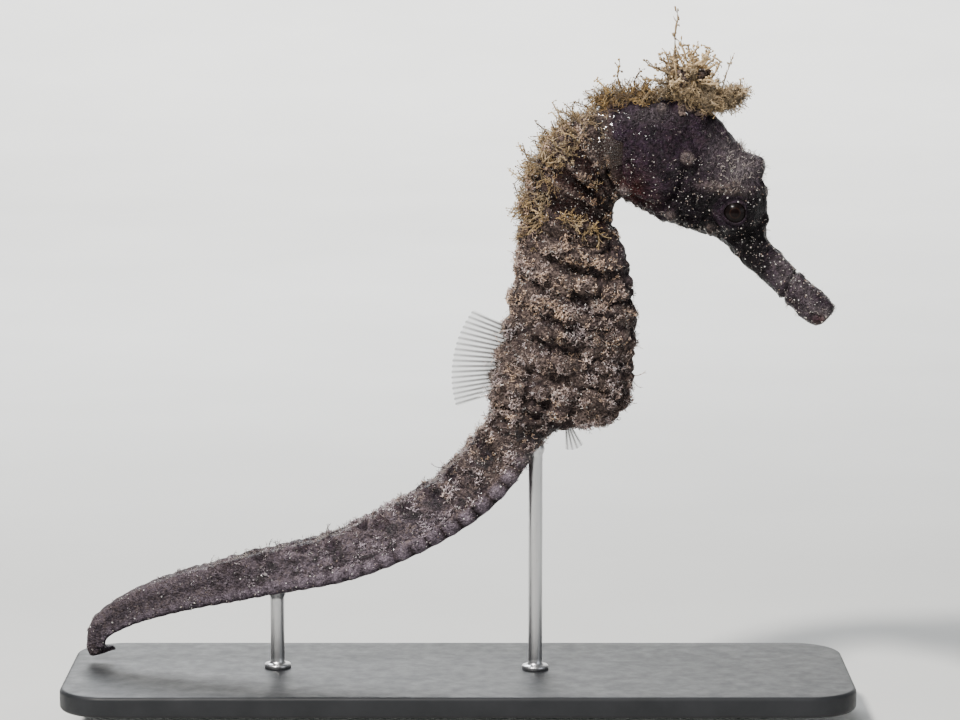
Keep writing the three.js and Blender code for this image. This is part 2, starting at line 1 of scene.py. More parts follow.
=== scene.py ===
# %% [markdown]
# # A lined seahorse at life size
#
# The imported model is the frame: it says how large the animal is, where each part lies and which body it
# rides on. These cells dress it. One skin runs from the tip of the snout to the tip of the tail, with eyes,
# fins and a bony crown set into it. A coat of small growths lies over the skin, and a plain stand holds it.
#
# Lengths are worked out in millimetres, as on a drawing, and become metres when a mesh is made.

import json
import math

import bpy
import numpy as np
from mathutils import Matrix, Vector
from mathutils.kdtree import KDTree

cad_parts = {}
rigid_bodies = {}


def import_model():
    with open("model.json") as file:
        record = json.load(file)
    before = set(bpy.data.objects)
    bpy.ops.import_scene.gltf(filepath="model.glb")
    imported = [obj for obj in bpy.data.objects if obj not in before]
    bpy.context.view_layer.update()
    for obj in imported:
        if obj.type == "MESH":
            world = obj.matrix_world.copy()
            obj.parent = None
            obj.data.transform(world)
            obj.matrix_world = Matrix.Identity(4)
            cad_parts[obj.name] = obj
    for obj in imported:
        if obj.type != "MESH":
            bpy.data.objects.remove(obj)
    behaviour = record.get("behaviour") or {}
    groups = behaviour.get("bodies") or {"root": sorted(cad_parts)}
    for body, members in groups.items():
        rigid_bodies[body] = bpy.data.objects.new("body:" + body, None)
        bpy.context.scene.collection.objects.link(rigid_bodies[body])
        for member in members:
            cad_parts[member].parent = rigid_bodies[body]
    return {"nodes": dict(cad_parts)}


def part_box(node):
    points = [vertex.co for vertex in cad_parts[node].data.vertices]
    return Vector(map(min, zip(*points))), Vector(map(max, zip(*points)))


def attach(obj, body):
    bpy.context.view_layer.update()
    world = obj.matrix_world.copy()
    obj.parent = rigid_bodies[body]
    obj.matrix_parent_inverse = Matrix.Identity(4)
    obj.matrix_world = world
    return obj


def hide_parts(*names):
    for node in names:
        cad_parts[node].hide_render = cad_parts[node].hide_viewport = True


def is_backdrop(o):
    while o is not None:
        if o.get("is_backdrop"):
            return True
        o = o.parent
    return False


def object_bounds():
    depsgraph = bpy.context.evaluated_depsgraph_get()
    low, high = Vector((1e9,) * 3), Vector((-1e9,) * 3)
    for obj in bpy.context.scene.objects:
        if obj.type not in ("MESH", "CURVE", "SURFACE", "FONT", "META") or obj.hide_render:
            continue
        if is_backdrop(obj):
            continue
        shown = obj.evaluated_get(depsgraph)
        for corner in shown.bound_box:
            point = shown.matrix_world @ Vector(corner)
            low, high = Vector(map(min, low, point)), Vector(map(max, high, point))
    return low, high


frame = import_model()
cad_low, cad_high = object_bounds()
MM = 0.001
print("frame:", len(frame["nodes"]), "nodes, from", tuple(cad_low), "to", tuple(cad_high))


def node_box(name):
    """Lowest and highest corner of a CAD node, in millimetres."""
    return [np.array(corner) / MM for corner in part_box(name)]

# %% [markdown]
# ## Small tools
# A few helpers make the rest short. Ramp, hill and mix ease from one value to another, and every soft edge
# uses them. Lumps are smooth and random, yet the same at each run, because they come from whole numbers and
# not from a random generator. The last ones turn arrays of points and faces into a Blender object, and tell
# the frame which body it rides on and which nodes it stands for.

# %% Helpers for numbers and meshes
def ramp(value, start, end):
    """0 at start, 1 at end, with a soft beginning and a soft end."""
    t = np.clip((np.asarray(value, float) - start) / (end - start), 0, 1)
    return t * t * (3 - 2 * t)


def hill(value, middle, width):
    """1 in the middle, falling away on both sides like a rounded hill."""
    return np.exp(-(((np.asarray(value, float) - middle) / width) ** 2))


def mix(a, b, t):
    return a + (b - a) * t


def lumps(points, size, seed):
    """Smooth noise from -1 to 1 at each point, with lumps of the given size."""
    place = points / size + 0.37 * seed
    cell = np.floor(place).astype(np.int64)
    part = place - cell
    part = part * part * (3 - 2 * part)
    total = np.zeros(len(points))
    for corner in np.ndindex(2, 2, 2):
        at = cell + np.array(corner)
        code = at[:, 0] * 374761393 + at[:, 1] * 668265263 + at[:, 2] * 2147483647 + seed * 97
        code = (code ^ (code >> 13)) * 1274126177
        code = code ^ (code >> 16)
        height = (code & 0xFFFF) / 32767.5 - 1
        weight = np.prod(np.where(corner, part, 1 - part), axis=1)
        total += weight * height
    return total


def circle(count):
    """Angles that go once round, evenly spaced."""
    return np.arange(count) / count * 2 * np.pi


def unit(vectors):
    return vectors / np.maximum(np.linalg.norm(vectors, axis=-1, keepdims=True), 1e-9)


def mesh_of(name, points, faces):
    """A mesh from points in millimetres and faces with the same number of corners each."""
    points, faces = np.asarray(points, float), np.asarray(faces, int)
    mesh = bpy.data.meshes.new(name)
    mesh.vertices.add(len(points))
    mesh.vertices.foreach_set("co", (points * MM).astype(np.float32).ravel())
    corners = faces.shape[1]
    mesh.loops.add(faces.size)
    mesh.loops.foreach_set("vertex_index", faces.ravel())
    mesh.polygons.add(len(faces))
    mesh.polygons.foreach_set("loop_start", np.arange(len(faces)) * corners)
    mesh.update(calc_edges=True)
    mesh.validate()
    mesh.polygons.foreach_set("use_smooth", np.ones(len(mesh.polygons), bool))
    return mesh


def store_values(mesh, **values):
    """Stores a number or a vector for each point of a mesh, for a material or a node tree to read."""
    for name, stored in values.items():
        stored = np.asarray(stored, np.float32)
        kind, field = ("FLOAT", "value") if stored.ndim == 1 else ("FLOAT_VECTOR", "vector")
        mesh.attributes.new(name, kind, "POINT").data.foreach_set(field, stored.ravel())


def piece(name, mesh):
    """An object at the origin, whose place is in its mesh."""
    obj = bpy.data.objects.new(name, mesh)
    bpy.context.scene.collection.objects.link(obj)
    return obj


def dress(obj, slot, *stands_for):
    """The piece rides with the animal and stands for the nodes it hides. The slot is not used."""
    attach(obj, "root")
    if stands_for:
        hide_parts(*stands_for)
    return obj


print("helpers: noise at the origin is", round(float(lumps(np.zeros((1, 3)), 1, 1)[0]), 3))

# %% [markdown]
# ## The lines of the body
# A seahorse is a tube in a coat of bony rings. The tube is drawn by stations: each is a point on the back, a
# point on the belly and half a width. They are the same stations that the solids were lofted from, so the
# skin falls into place without fitting. The tail's stations are worked out from its middle line and its
# depth. They follow on from the trunk's in one table, and head and snout have the other.

# %% Stations of the trunk, tail, head and snout
# Back point, belly point and half width, with the points as distance ahead and height.
TRUNK_STATIONS = [
    [20.9, 83.9, 23.1, 70.7, 4.6], [14.4, 81.3, 22.2, 69.0, 4.7], [10.0, 75.9, 22.7, 66.7, 4.9],
    [8.4, 68.2, 24.4, 62.3, 5.4], [7.4, 59.5, 25.7, 56.2, 6.2], [5.7, 51.0, 25.6, 48.9, 6.6],
    [3.9, 43.9, 23.9, 39.9, 6.0], [4.2, 40.6, 14.0, 36.9, 4.9],
]
TAIL_LINE = [
    [9.1, 38.7], [0.4, 28.9], [-14.2, 20.7], [-28.8, 16.8], [-41.8, 13.2], [-49.2, 10.0], [-52.3, 7.2],
    [-52.2, 4.7], [-50.7, 4.1], [-49.8, 5.1],
]
HEAD_STATIONS = [
    [18.0, 83.6, 22.0, 71.4, 4.4], [22.4, 84.6, 24.4, 70.0, 4.9], [27.5, 85.3, 28.3, 68.0, 5.3],
    [31.5, 85.2, 31.1, 67.1, 5.2], [35.2, 83.9, 33.7, 66.4, 4.8], [38.5, 80.5, 35.5, 65.9, 4.4],
    [41.5, 77.2, 37.1, 65.1, 4.2], [43.3, 74.1, 38.4, 64.1, 3.8], [43.9, 70.9, 39.5, 63.1, 3.3],
    [43.8, 68.2, 40.4, 62.1, 2.6], [43.9, 66.3, 41.2, 61.4, 2.2], [46.8, 63.1, 43.7, 59.3, 2.0],
    [49.7, 60.3, 46.6, 56.8, 1.95], [52.5, 58.2, 49.2, 54.3, 2.2], [53.8, 56.9, 50.9, 53.6, 1.8],
]
TRUNK_RINGS, TAIL_RINGS = 11, 36
FIRST_RING, TAIL_START, TAIL_STATIONS = 1.5, 7, 24
BODY_END, HEAD_END = TAIL_START + TAIL_STATIONS, 14
TAIL_DEPTH, TAIL_TAPER, TAIL_TIP, TAIL_SQUARENESS, TAIL_SWAY = 9.6, 0.42, 0.7, 0.94, 5


def spline(points, places):
    """A centripetal Catmull-Rom curve through points, read at places counted in points."""
    points = np.asarray(points, float)
    last = len(points) - 1
    places = np.clip(np.atleast_1d(np.asarray(places, float)), 0, last)
    first = np.minimum(places.astype(int), last - 1)
    w = (places - first)[:, None]
    longer = np.vstack([2 * points[0] - points[1], points, 2 * points[-1] - points[-2]])
    p = [longer[first + k] for k in range(4)]
    gap = [np.linalg.norm(b - a, axis=1)[:, None] ** 0.5 for a, b in zip(p, p[1:])]
    leave = (p[1] - p[0]) / gap[0] - (p[2] - p[0]) / (gap[0] + gap[1])
    leave = (leave + (p[2] - p[1]) / gap[1]) * gap[1]
    reach = (p[2] - p[1]) / gap[1] - (p[3] - p[1]) / (gap[1] + gap[2])
    reach = (reach + (p[3] - p[2]) / gap[2]) * gap[1]
    square = -3 * p[1] + 3 * p[2] - 2 * leave - reach
    return p[1] + w * leave + w**2 * square + w**3 * (2 * p[1] - 2 * p[2] + leave + reach)


def walked_along(points):
    """How far along a line of points each point lies."""
    return np.r_[0, np.cumsum(np.linalg.norm(np.diff(points, axis=0), axis=1))]


def tail_station(share):
    """The tail's station at a share of its length, from its depth and its middle line."""
    steps = np.linspace(0, len(TAIL_LINE) - 1, 201)
    line = spline(TAIL_LINE, steps)
    walked = walked_along(line)
    at = np.interp(share * walked[-1], walked, steps)
    middle = spline(TAIL_LINE, at)[0]
    ahead = spline(TAIL_LINE, at + 1e-3)[0] - spline(TAIL_LINE, at - 1e-3)[0]
    ahead = ahead / np.linalg.norm(ahead)
    half = max(TAIL_TIP, TAIL_DEPTH * (1 - share) ** TAIL_TAPER) / 2
    up = np.array([ahead[1], -ahead[0]]) * half
    sway = TAIL_SWAY * float(ramp(share, 0.35, 1.05))
    return [*(middle + up), *(middle - up), TAIL_SQUARENESS * half, sway]


BODY_STATIONS = [row + [0] for row in TRUNK_STATIONS]
BODY_STATIONS += [tail_station((i + 1) / TAIL_STATIONS) for i in range(TAIL_STATIONS)]
BODY_STATIONS = np.array(BODY_STATIONS)
HEAD_TABLE = np.array([row + [0] for row in HEAD_STATIONS])


def lines_at(table, places):
    """Back points, belly points and half widths at places along a table of stations."""
    back = spline(table[:, [0, 5, 1]], places)
    belly = spline(table[:, [2, 5, 3]], places)
    wide = spline(np.c_[np.arange(len(table)), table[:, 4]], places)[:, 1]
    return back, belly, wide


def ring_start(ring):
    """Where a ring starts, counted in stations. The tail's rings shorten towards its tip."""
    ring = np.asarray(ring, float)
    share = np.clip((ring - TRUNK_RINGS) / TAIL_RINGS, 0, 1)
    on_tail = TAIL_START + TAIL_STATIONS * (1 - (1 - share) ** 1.25)
    return np.where(ring <= TRUNK_RINGS, mix(FIRST_RING, TAIL_START, ring / TRUNK_RINGS), on_tail)


print("body: rings start at stations", ring_start([0, 4, 8, 11, 25, 47]).round(2))

# %% [markdown]
# ## Rows round the body
# The skin is a grid: rows go round the body, columns run along it. Each ring of the armour starts on a row
# and has a fixed number of rows, so that every groove and every rim stays crisp. The head gets more rows
# than its length would ask for, because it is looked at most.
#
# The head is turned a little to the animal's right. Everything is worked out straight, and turned at the end.

# %% The rows
HEAD_ROWS, JOINT_ROWS, NECK_ROWS, RING_ROWS, TAIL_RING_ROWS = 178, 5, 28, 13, 8
COLUMNS = 148
HEAD_TURN = math.radians(-16)
NECK_PIVOT_X = 23
NECK_END = 1.7


def even_places(table, start, end, count):
    """Places along a table that lie evenly by length, from start to end."""
    steps = np.linspace(start, end, 400)
    back, belly, _ = lines_at(table, steps)
    walked = walked_along((back + belly) / 2)
    return np.interp(np.linspace(0, walked[-1], count), walked, steps)


head_places = even_places(HEAD_TABLE, HEAD_END, 1, HEAD_ROWS)
ring_edges = ring_start(np.arange(TRUNK_RINGS + TAIL_RINGS + 1))
body_places = [np.linspace(0, FIRST_RING, NECK_ROWS, endpoint=False)]
for ring in range(TRUNK_RINGS + TAIL_RINGS):
    rows_here = RING_ROWS if ring < TRUNK_RINGS else TAIL_RING_ROWS
    body_places.append(np.linspace(ring_edges[ring], ring_edges[ring + 1], rows_here, endpoint=False))
body_places = np.concatenate([*body_places, [BODY_END]])

head_back, head_belly, head_wide = lines_at(HEAD_TABLE, head_places)
body_back, body_belly, body_wide = lines_at(BODY_STATIONS, body_places)
joint = np.linspace(0, 1, JOINT_ROWS + 2)[1:-1, None]
back = np.vstack([head_back, mix(head_back[-1], body_back[0], joint), body_back])
belly = np.vstack([head_belly, mix(head_belly[-1], body_belly[0], joint), body_belly])
wide = np.r_[head_wide, mix(head_wide[-1], body_wide[0], joint[:, 0]), body_wide]
station = np.r_[-head_places, mix(-1, 0, joint[:, 0]), body_places]
ROWS = len(station)
middle = (back + belly) / 2
along = walked_along(middle)
print("skin grid:", ROWS, "rows of", COLUMNS, "points,", round(float(along[-1]), 1), "mm long")

# %% [markdown]
# ## Cross-sections
# A seahorse isn't round. Its trunk has seven ridges and its tail four, and the head is a soft wedge. Each
# section is a half outline from the back to the belly, given as shares of the half depth and half width, and
# mirrored. The outlines melt into each other along the body.
#
# Between two rings the body narrows a little, and more so on the ridges. The skin also lies a coat's depth
# inside the solid, because the growth on it has to end where the solid ends.

# %% Outlines of the sections
# Eight points each, counted from 0 on the back to 7 on the belly: share of half depth, share of half width.
TRUNK_RIM = [(0.93, 0), (1, 0.48), (0.55, 0.8), (0.1, 1), (-0.3, 0.86), (-0.66, 0.6), (-0.88, 0.3), (-1, 0)]
TAIL_RIM = [(0.88, 0), (1, 0.72), (0.55, 0.95), (0, 0.92), (-0.5, 0.96), (-0.95, 0.78), (-0.92, 0.38),
            (-0.9, 0)]
HEAD_RIM = [(1, 0), (0.93, 0.34), (0.68, 0.7), (0.27, 0.94), (-0.18, 1), (-0.6, 0.82), (-0.89, 0.45), (-1, 0)]
# The points of an outline that are ridges.
TRUNK_RIDGES, TAIL_RIDGES = [1, 3, 5, 7], [1, 5]
# Depth of the groove between two rings as a share of the body, and how much deeper it cuts a ridge.
GROOVE, RIDGE_GROOVE = 0.03, 0.06
# Where in a ring its rim is highest, as a share of the ring.
RIM_CREST = 0.55
RIM_STEPS = np.linspace(0, 7, 99)


def half_outline(rim):
    """A smooth half outline through the rim's eight points, read at every step."""
    rim = np.array(rim, float)
    mirrored = rim * [1, -1]
    closed = np.vstack([mirrored[2:0:-1], rim, mirrored[6:4:-1]])
    return spline(closed, RIM_STEPS + 2)


def ridges_at(place, rows, width=0.34):
    """1 on the ridges and 0 between them, at places on the half outline."""
    return np.max([hill(place, row, width) for row in rows], axis=0)


headness = 1 - ramp(station, -2.2, -0.4)
tailness = ramp(station, TAIL_START - 1, TAIL_START + 1.5)
ring_number = np.clip(np.searchsorted(ring_edges, station + 1e-6) - 1, 0, TRUNK_RINGS + TAIL_RINGS - 1)
ring_share = (station - ring_edges[ring_number]) / np.diff(ring_edges)[ring_number]
ring_share = np.clip(ring_share, 0, 1)
to_crest = np.where(ring_share < RIM_CREST, ring_share / RIM_CREST, (1 - ring_share) / (1 - RIM_CREST))
ringed = ramp(station, 1.0, FIRST_RING + 0.3)
crest = (0.5 - 0.5 * np.cos(np.pi * to_crest)) * ringed + 0.6 * (1 - ringed)


def coat_depth(station, phi):
    """How far the skin lies inside the solid: the depth of the growth there."""
    on_back = 1 - ramp(phi, 3.4, 4.6)
    trunk = 0.75 * ramp(station, -0.6, 1.2) * (1 - ramp(station, 7, 10))
    tail = ramp(station, 7, 10) * mix(0.10, 0.5, on_back) * (1 - 0.85 * ramp(station, 18, 27))
    head = 0.22 * (1 - ramp(station, -0.6, 1.2))
    return trunk + tail + head

# %% The grid of points, still smooth
outlines = [half_outline(rim) for rim in (HEAD_RIM, TRUNK_RIM, TAIL_RIM)]
ridges = [ridges_at(RIM_STEPS, rows) for rows in (TRUNK_RIDGES, TAIL_RIDGES)]
HALF = COLUMNS // 2
# Phi is a point's place on the half outline, from 0 on the back to 7 on the belly.
depth_share, width_share, phi = (np.zeros((ROWS, HALF + 1)) for _ in range(3))
half_depth = np.linalg.norm(back - belly, axis=1) / 2
for r in range(ROWS):
    body = mix(outlines[1], outlines[2], tailness[r])
    outline = mix(body, outlines[0], headness[r])
    inside = coat_depth(station[r], RIM_STEPS)
    outline = outline * (1 - inside[:, None] / np.array([half_depth[r], wide[r]]).clip(1.2))
    ridge = mix(ridges[0], ridges[1], tailness[r])
    on_side_only = mix(0.2, 1.0, hill(RIM_STEPS, 3.0, 1.7)) * (1 - 0.6 * tailness[r])
    groove = (GROOVE + RIDGE_GROOVE * ridge) * on_side_only
    outline = outline * (1 - (1 - crest[r]) * ringed[r] * groove)[:, None]
    sides = np.diff(outline, axis=0) * [half_depth[r], wide[r]]
    walked = np.r_[0, np.cumsum(np.hypot(*sides.T))]
    at = np.interp(np.linspace(0, walked[-1], HALF + 1), walked, RIM_STEPS)
    phi[r] = at
    depth_share[r] = np.interp(at, RIM_STEPS, outline[:, 0])
    width_share[r] = np.interp(at, RIM_STEPS, outline[:, 1])

# Columns 0 to HALF go down the right side (-Y), the rest come back up the left.
left_side = np.s_[:, -2:0:-1]
phi = np.hstack([phi, phi[left_side]])
depth_share = np.hstack([depth_share, depth_share[left_side]])
width_share = np.hstack([-width_share, width_share[left_side]])
across = np.array([0, 1, 0])
up = back - middle
skin = middle[:, None] + depth_share[..., None] * up[:, None]
skin = skin + (width_share * wide[:, None])[..., None] * across
print("skin grid: from", skin.min((0, 1)).round(1), "to", skin.max((0, 1)).round(1), "mm, unturned")

# %% [markdown]
# ## Relief of the skin
# The grid so far is a smooth body with soft rings. Now it gets its relief: the rims and knobs of the rings,
# the lobes along the tail's lower edge, the gill cover, the ridges and furrows of the face. Each is a height
# in millimetres, added along the normal.

# %% Normals, and where each point lies
def grid_normals(points):
    """Outward normals of the grid, from its two directions."""
    round_about = np.roll(points, -1, 1) - np.roll(points, 1, 1)
    lengthwise = np.gradient(points, axis=0)
    return unit(np.cross(lengthwise, round_about))


def by_row(values):
    """The value of each row, spread over its columns."""
    return np.repeat(values[:, None], COLUMNS, 1)

# Station, length along the body, height on the ring's rim, ring, share of tail, and half depth.
S, A, CREST, RING, TAILED, SIZE = map(by_row, (station, along, crest, ring_number, tailness, half_depth))
flat = skin.reshape(-1, 3)


def lumps_at(size, seed):
    return lumps(flat, size, seed).reshape(ROWS, COLUMNS)


head_part = 1 - ramp(S, -1.0, 0.2)
print("normals point out:", bool((grid_normals(skin)[ROWS // 2, 10] * [0, -1, 0]).sum() > 0))

# %% Relief of the trunk
narrow_crest = CREST**2.2
# The growth lies in clumps, longer across the body than along it, with creases between them.
clump_heights = lumps(flat * [0.55, 0.75, 1.0] + [0, 0, 0.12] * flat[:, :1], 2.1, 25).reshape(ROWS, COLUMNS)
clump_heights = clump_heights + 0.35 * lumps_at(1.0, 26)
creases = hill(clump_heights, 0, 0.2) * ramp(S, -0.6, 0.6) * (1 - ramp(S, 11, 16))
# On the first rings of the trunk it hangs in shaggy ropes that run across, two to a ring.
ropes = np.sin(2 * np.pi * (S * 1.9 + 0.5 * lumps_at(4.5, 27) + 0.15 * lumps_at(1.4, 28)))
roped = ramp(S, 2.1, 2.6) * (1 - ramp(S, 4.8, 5.8)) * hill(phi, 3.2, 2.4)
creases = np.maximum(creases, roped * ramp(-ropes, 0.55, 0.95) * ramp(lumps_at(2.4, 29), -0.45, 0.0))
on_flank = hill(phi, 3.0, 1.9)
trunk_relief = mix(0.06, 0.75, on_flank) * (narrow_crest - 0.45) * ringed[:, None]
knob_size = 0.08 + 0.16 * ((RING + 1) % 3 == 0)
trunk_relief += knob_size * CREST**3 * ridges_at(phi, [1, 3], 0.3)
trunk_relief += 0.2 * lumps_at(2.6, 3) + 0.22 * lumps_at(1.3, 4) + 0.15 * lumps_at(0.6, 5)
trunk_relief += 0.1 * (1 - 2.8 * np.abs(lumps_at(1.5, 16))) + 0.22 - 0.6 * creases + 0.24 * roped * ropes

# %% Relief of the neck
# The folds slant, because phi counts in them too.
folds = np.sin(2 * np.pi * (S * 1.45 + 0.22 * lumps_at(4, 6) + 0.09 * phi + 0.2))
neck_part = ramp(S, -0.9, 0.1) * (1 - ramp(S, 1.8, 3.2))
neck_relief = 0.62 * (np.abs(folds) ** 0.7 * np.sign(folds)) * hill(phi, 3.4, 2.0) - 0.25 * creases
neck_relief += 0.24 * lumps_at(1.6, 7) + 0.14 * lumps_at(0.7, 8)

# %% Relief of the tail
# Each ring ends in a rounded lobe on the lower ridge, with a furrow above the row of lobes.
lobe = CREST**0.5 * hill(phi, 4.45, 0.5) * (1 - ramp(phi, 4.8, 5.6))
furrow = hill(phi, 3.75, 0.2) * (1 - 0.8 * ramp(S, 15, 22))
tail_relief = (0.10 * lobe - 0.05 * furrow) * SIZE - 0.25 * creases * (1 - ramp(phi, 3.3, 3.8))
tail_relief += 0.025 * SIZE * (CREST**1.6 - 0.5) * (1 - ramp(phi, 4.0, 4.6)) * ramp(phi, 0.8, 2.2)
back_knob = 0.005 + 0.02 * (RING % 4 == 1)
tail_relief += back_knob * SIZE * CREST**2 * hill(phi, 1, 0.4)
rough = (1 - ramp(phi, 4.0, 4.6)) * (1 - 0.7 * ramp(S, 20, 28))
tail_relief += rough * (0.20 * lumps_at(1.2, 9) + 0.20 * lumps_at(0.55, 10))
tail_relief += 0.03 * lumps_at(0.5, 11)

# %% [markdown]
# ## Relief of the head
# The head has the gill cover, a round plate with fine ribs that fan out from its front. In front of it a
# furrow runs down behind the cheek. A ridge comes from the temple to the brow, and two low ridges run
# down the snout to a crease before the mouth.

# %% Relief of the head
GILL_COVER = {"x": 28.4, "z": 76.3, "rx": 4.3, "rz": 5.5}
GILL_HINGE = {"x": 32.0, "z": 74.0}
GILL_RIBS = 26
SNOUT_CREASE = 11.7


def ridge_over_eye(ahead):
    """The height of the low ridge over the eye."""
    return 73.0 - 0.10 * (ahead - 38.5)


def wet_film(ahead, up):
    """Where a film of slime glistens behind the gill cover."""
    return hill(ahead, 20.6, 1.7) * hill(up, 81.0, 2.4) + hill(ahead, 22.0, 0.9) * hill(up, 78.4, 1.2)


side_x, side_z = skin[..., 0], skin[..., 2]
on_side = ramp(np.abs(skin[..., 1]), 1.5, 3.0)
gill_x = (side_x - GILL_COVER["x"]) / GILL_COVER["rx"]
gill = np.hypot(gill_x, (side_z - GILL_COVER["z"]) / GILL_COVER["rz"])
fan = np.arctan2(side_z - GILL_HINGE["z"], side_x - GILL_HINGE["x"])
ribs = np.sin(GILL_RIBS * fan + 0.8 * lumps_at(2.5, 12))
head_relief = on_side * 0.6 * (1 - np.clip(gill, 0, 1) ** 2)
head_relief += on_side * (0.2 * hill(gill, 0.93, 0.07) - 0.6 * hill(gill, 1.13, 0.09))
head_relief += on_side * 0.07 * ribs * (1 - ramp(gill, 0.8, 0.95))
cheek_line = 34.3 + 0.008 * (side_z - 74) ** 2
head_relief -= on_side * 0.32 * hill(side_x, cheek_line, 0.75) * hill(side_z, 72.4, 4.6)
brow_line = 77.9 - 0.62 * (side_x - 33.0)
head_relief += on_side * 0.34 * hill(side_z, brow_line, 0.9) * hill(side_x, 36.8, 3.0)
over_eye = ridge_over_eye(side_x)
ridge_and_furrow = 0.42 * hill(side_z, over_eye, 0.42) - 0.2 * hill(side_z, over_eye - 1.1, 0.4)
head_relief += on_side * ridge_and_furrow * hill(side_x, 38.6, 3.0)
under_eye = 67.0 - 0.5 * (side_x - 36.5)
head_relief -= on_side * 0.22 * hill(side_z, under_eye, 0.6) * hill(side_x, 37.5, 2.6)
snout_part = 1 - ramp(S, -9.8, -9.0)
slanted = S - 0.16 * np.cos(phi * np.pi / 7)
head_relief -= snout_part * 0.42 * hill(slanted, -SNOUT_CREASE, 0.06)
head_relief += snout_part * 0.16 * hill(slanted, -SNOUT_CREASE - 0.2, 0.12)
head_relief += snout_part * 0.1 * hill(slanted, -SNOUT_CREASE + 0.16, 0.1)
head_relief += snout_part * 0.10 * (hill(phi, 1.1, 0.4) - hill(phi, 0, 0.5))
head_relief += 0.12 * lumps_at(1.9, 13) * head_part
wet_relief = on_side * wet_film(side_x, side_z) * 0.12 * lumps_at(0.7, 19)
fine_lumps = mix(0.07, 0.035, snout_part) * lumps_at(0.42, 15)
head_relief += mix(0.14, 0.06, snout_part) * lumps_at(0.75, 14) + fine_lumps
head_relief += mix(0.13, 0.04, snout_part) * (1 - 3 * np.abs(lumps_at(1.1, 18)))
head_relief += 0.12 * ramp(S, -10.2, -11.4) * (1 - ramp(phi, 2.5, 5)) * lumps_at(0.5, 17)
MOUTH_SLANT = math.radians(18)
mouth_line = np.abs((side_x - 52.2) * math.sin(MOUTH_SLANT) + (side_z - 55.1) * math.cos(MOUTH_SLANT))
mouth_reach = ramp(side_x, 48.4, 49.4)
head_relief -= 0.22 * snout_part * mouth_reach * hill(mouth_line, 0, 0.22)

relief = head_part * head_relief + (1 - head_part) * (
    neck_part * neck_relief + (1 - neck_part) * mix(trunk_relief, tail_relief, TAILED)
)
relief = relief + wet_relief
skin = skin + relief[..., None] * grid_normals(skin)
print("relief: from", round(float(relief.min()), 2), "to", round(float(relief.max()), 2), "mm")

# %% [markdown]
# ## Knobs and eye turrets
# Knobs stand out further than a height field can push without folding. So the skin near each one is drawn
# out towards its tip, most of all on its axis. The eye turret is drawn out in the same way, onto a flat dome,
# and then pressed in where the eyeball sits.

# %% Knobs and turrets
# Foot, direction, length and radius of the knobs on the right side, then those on the middle of the face.
HEAD_KNOBS = [
    [[33.6, -3.7, 77.5], [0.1, -1, -0.2], 2.3, 1.25], [[40.0, -3.0, 72.2], [0.15, -0.7, 0.8], 2.0, 1.0],
    [[24.6, -3.6, 72.6], [-0.1, -1, -0.5], 1.5, 0.95], [[29.6, -2.6, 83.0], [0, -0.8, 0.8], 2.0, 0.9],
    [[31.0, -3.4, 68.9], [0, -1, -0.3], 0.9, 0.8], [[36.6, -3.2, 67.2], [0.1, -1, -0.3], 0.8, 0.8],
]
FACE_KNOBS = [
    [[41.4, 0, 75.8], [1, 0, 0.2], 2.1, 1.5], [[42.6, 0, 68.3], [1, 0, 0.2], 1.6, 0.8],
    [[41.2, 2.2, 71.9], [1, 0.35, 0.1], 2.3, 1.2], [[41.2, -2.2, 71.9], [1, -0.35, 0.1], 2.3, 1.2],
]
EYE = {"x": 40.1, "z": 69.7, "out": 3.1, "radius": 2.1}
KNOB_REACH = 1.6


def draw_out(points, foot, towards, length, radius):
    """Draws the skin out to a blunt knob: full length on the axis, nothing beyond KNOB_REACH radii."""
    foot, aim = np.array(foot, float), unit(np.array(towards, float))
    offset = points - foot
    height = offset @ aim
    away = np.linalg.norm(offset - height[..., None] * aim, axis=-1) / (KNOB_REACH * radius)
    share = np.where(height > -2.5, np.clip(1 - away**2, 0, 1) ** 2, 0)
    flat_top = np.clip(share * 1.25, 0, 1)
    rise = np.maximum(length - height, 0) * flat_top
    return points + rise[..., None] * aim


near_head = station < 0.5
part = skin[near_head]
for foot, towards, length, radius in HEAD_KNOBS:
    for side in (1, -1):
        flip = np.array([1, side, 1])
        part = draw_out(part, np.array(foot) * flip, np.array(towards) * flip, length, radius)
for knob in FACE_KNOBS:
    part = draw_out(part, *knob)

eye_away = np.hypot(part[..., 0] - EYE["x"], part[..., 2] - EYE["z"])
sideways = np.abs(part[..., 1])
facing = ramp(sideways, 0.6, 1.8)
dome = EYE["out"] + 1.25 - 0.20 * np.maximum(eye_away - 1.2, 0) ** 2
turret = np.maximum(dome - sideways, 0) * (1 - ramp(eye_away, 2.6, 3.7)) * facing
socket = ramp(eye_away, 1.75, 1.35) * facing * 1.6
part[..., 1] += np.sign(part[..., 1]) * (turret - socket)
skin[near_head] = part
knob_count = 2 * len(HEAD_KNOBS) + len(FACE_KNOBS)
print("knobs:", knob_count, "drawn out, turrets reach", round(float(sideways.max()), 1))

# %% [markdown]
# ## Ends of the tube, and the turn of the head
# The mouth is a slanting slit between two lips: the last rows round over, close down to the slit, and run a
# little way in. The tail ends in a small blunt cone. Then each row takes its share of the head's turn.

# %% The mouth
# Share of the depth, share of the width, and millimetres forward of the last station.
MOUTH_ROWS = [
    (0.02, 0.30, -1.10), (0.05, 0.40, -0.75), (0.09, 0.48, -0.30), (0.13, 0.54, 0.05), (0.22, 0.60, 0.34),
    (0.36, 0.68, 0.50), (0.52, 0.77, 0.52), (0.68, 0.86, 0.42), (0.82, 0.93, 0.25), (0.93, 0.98, 0.10),
]
SLIT_HEIGHT = -0.25


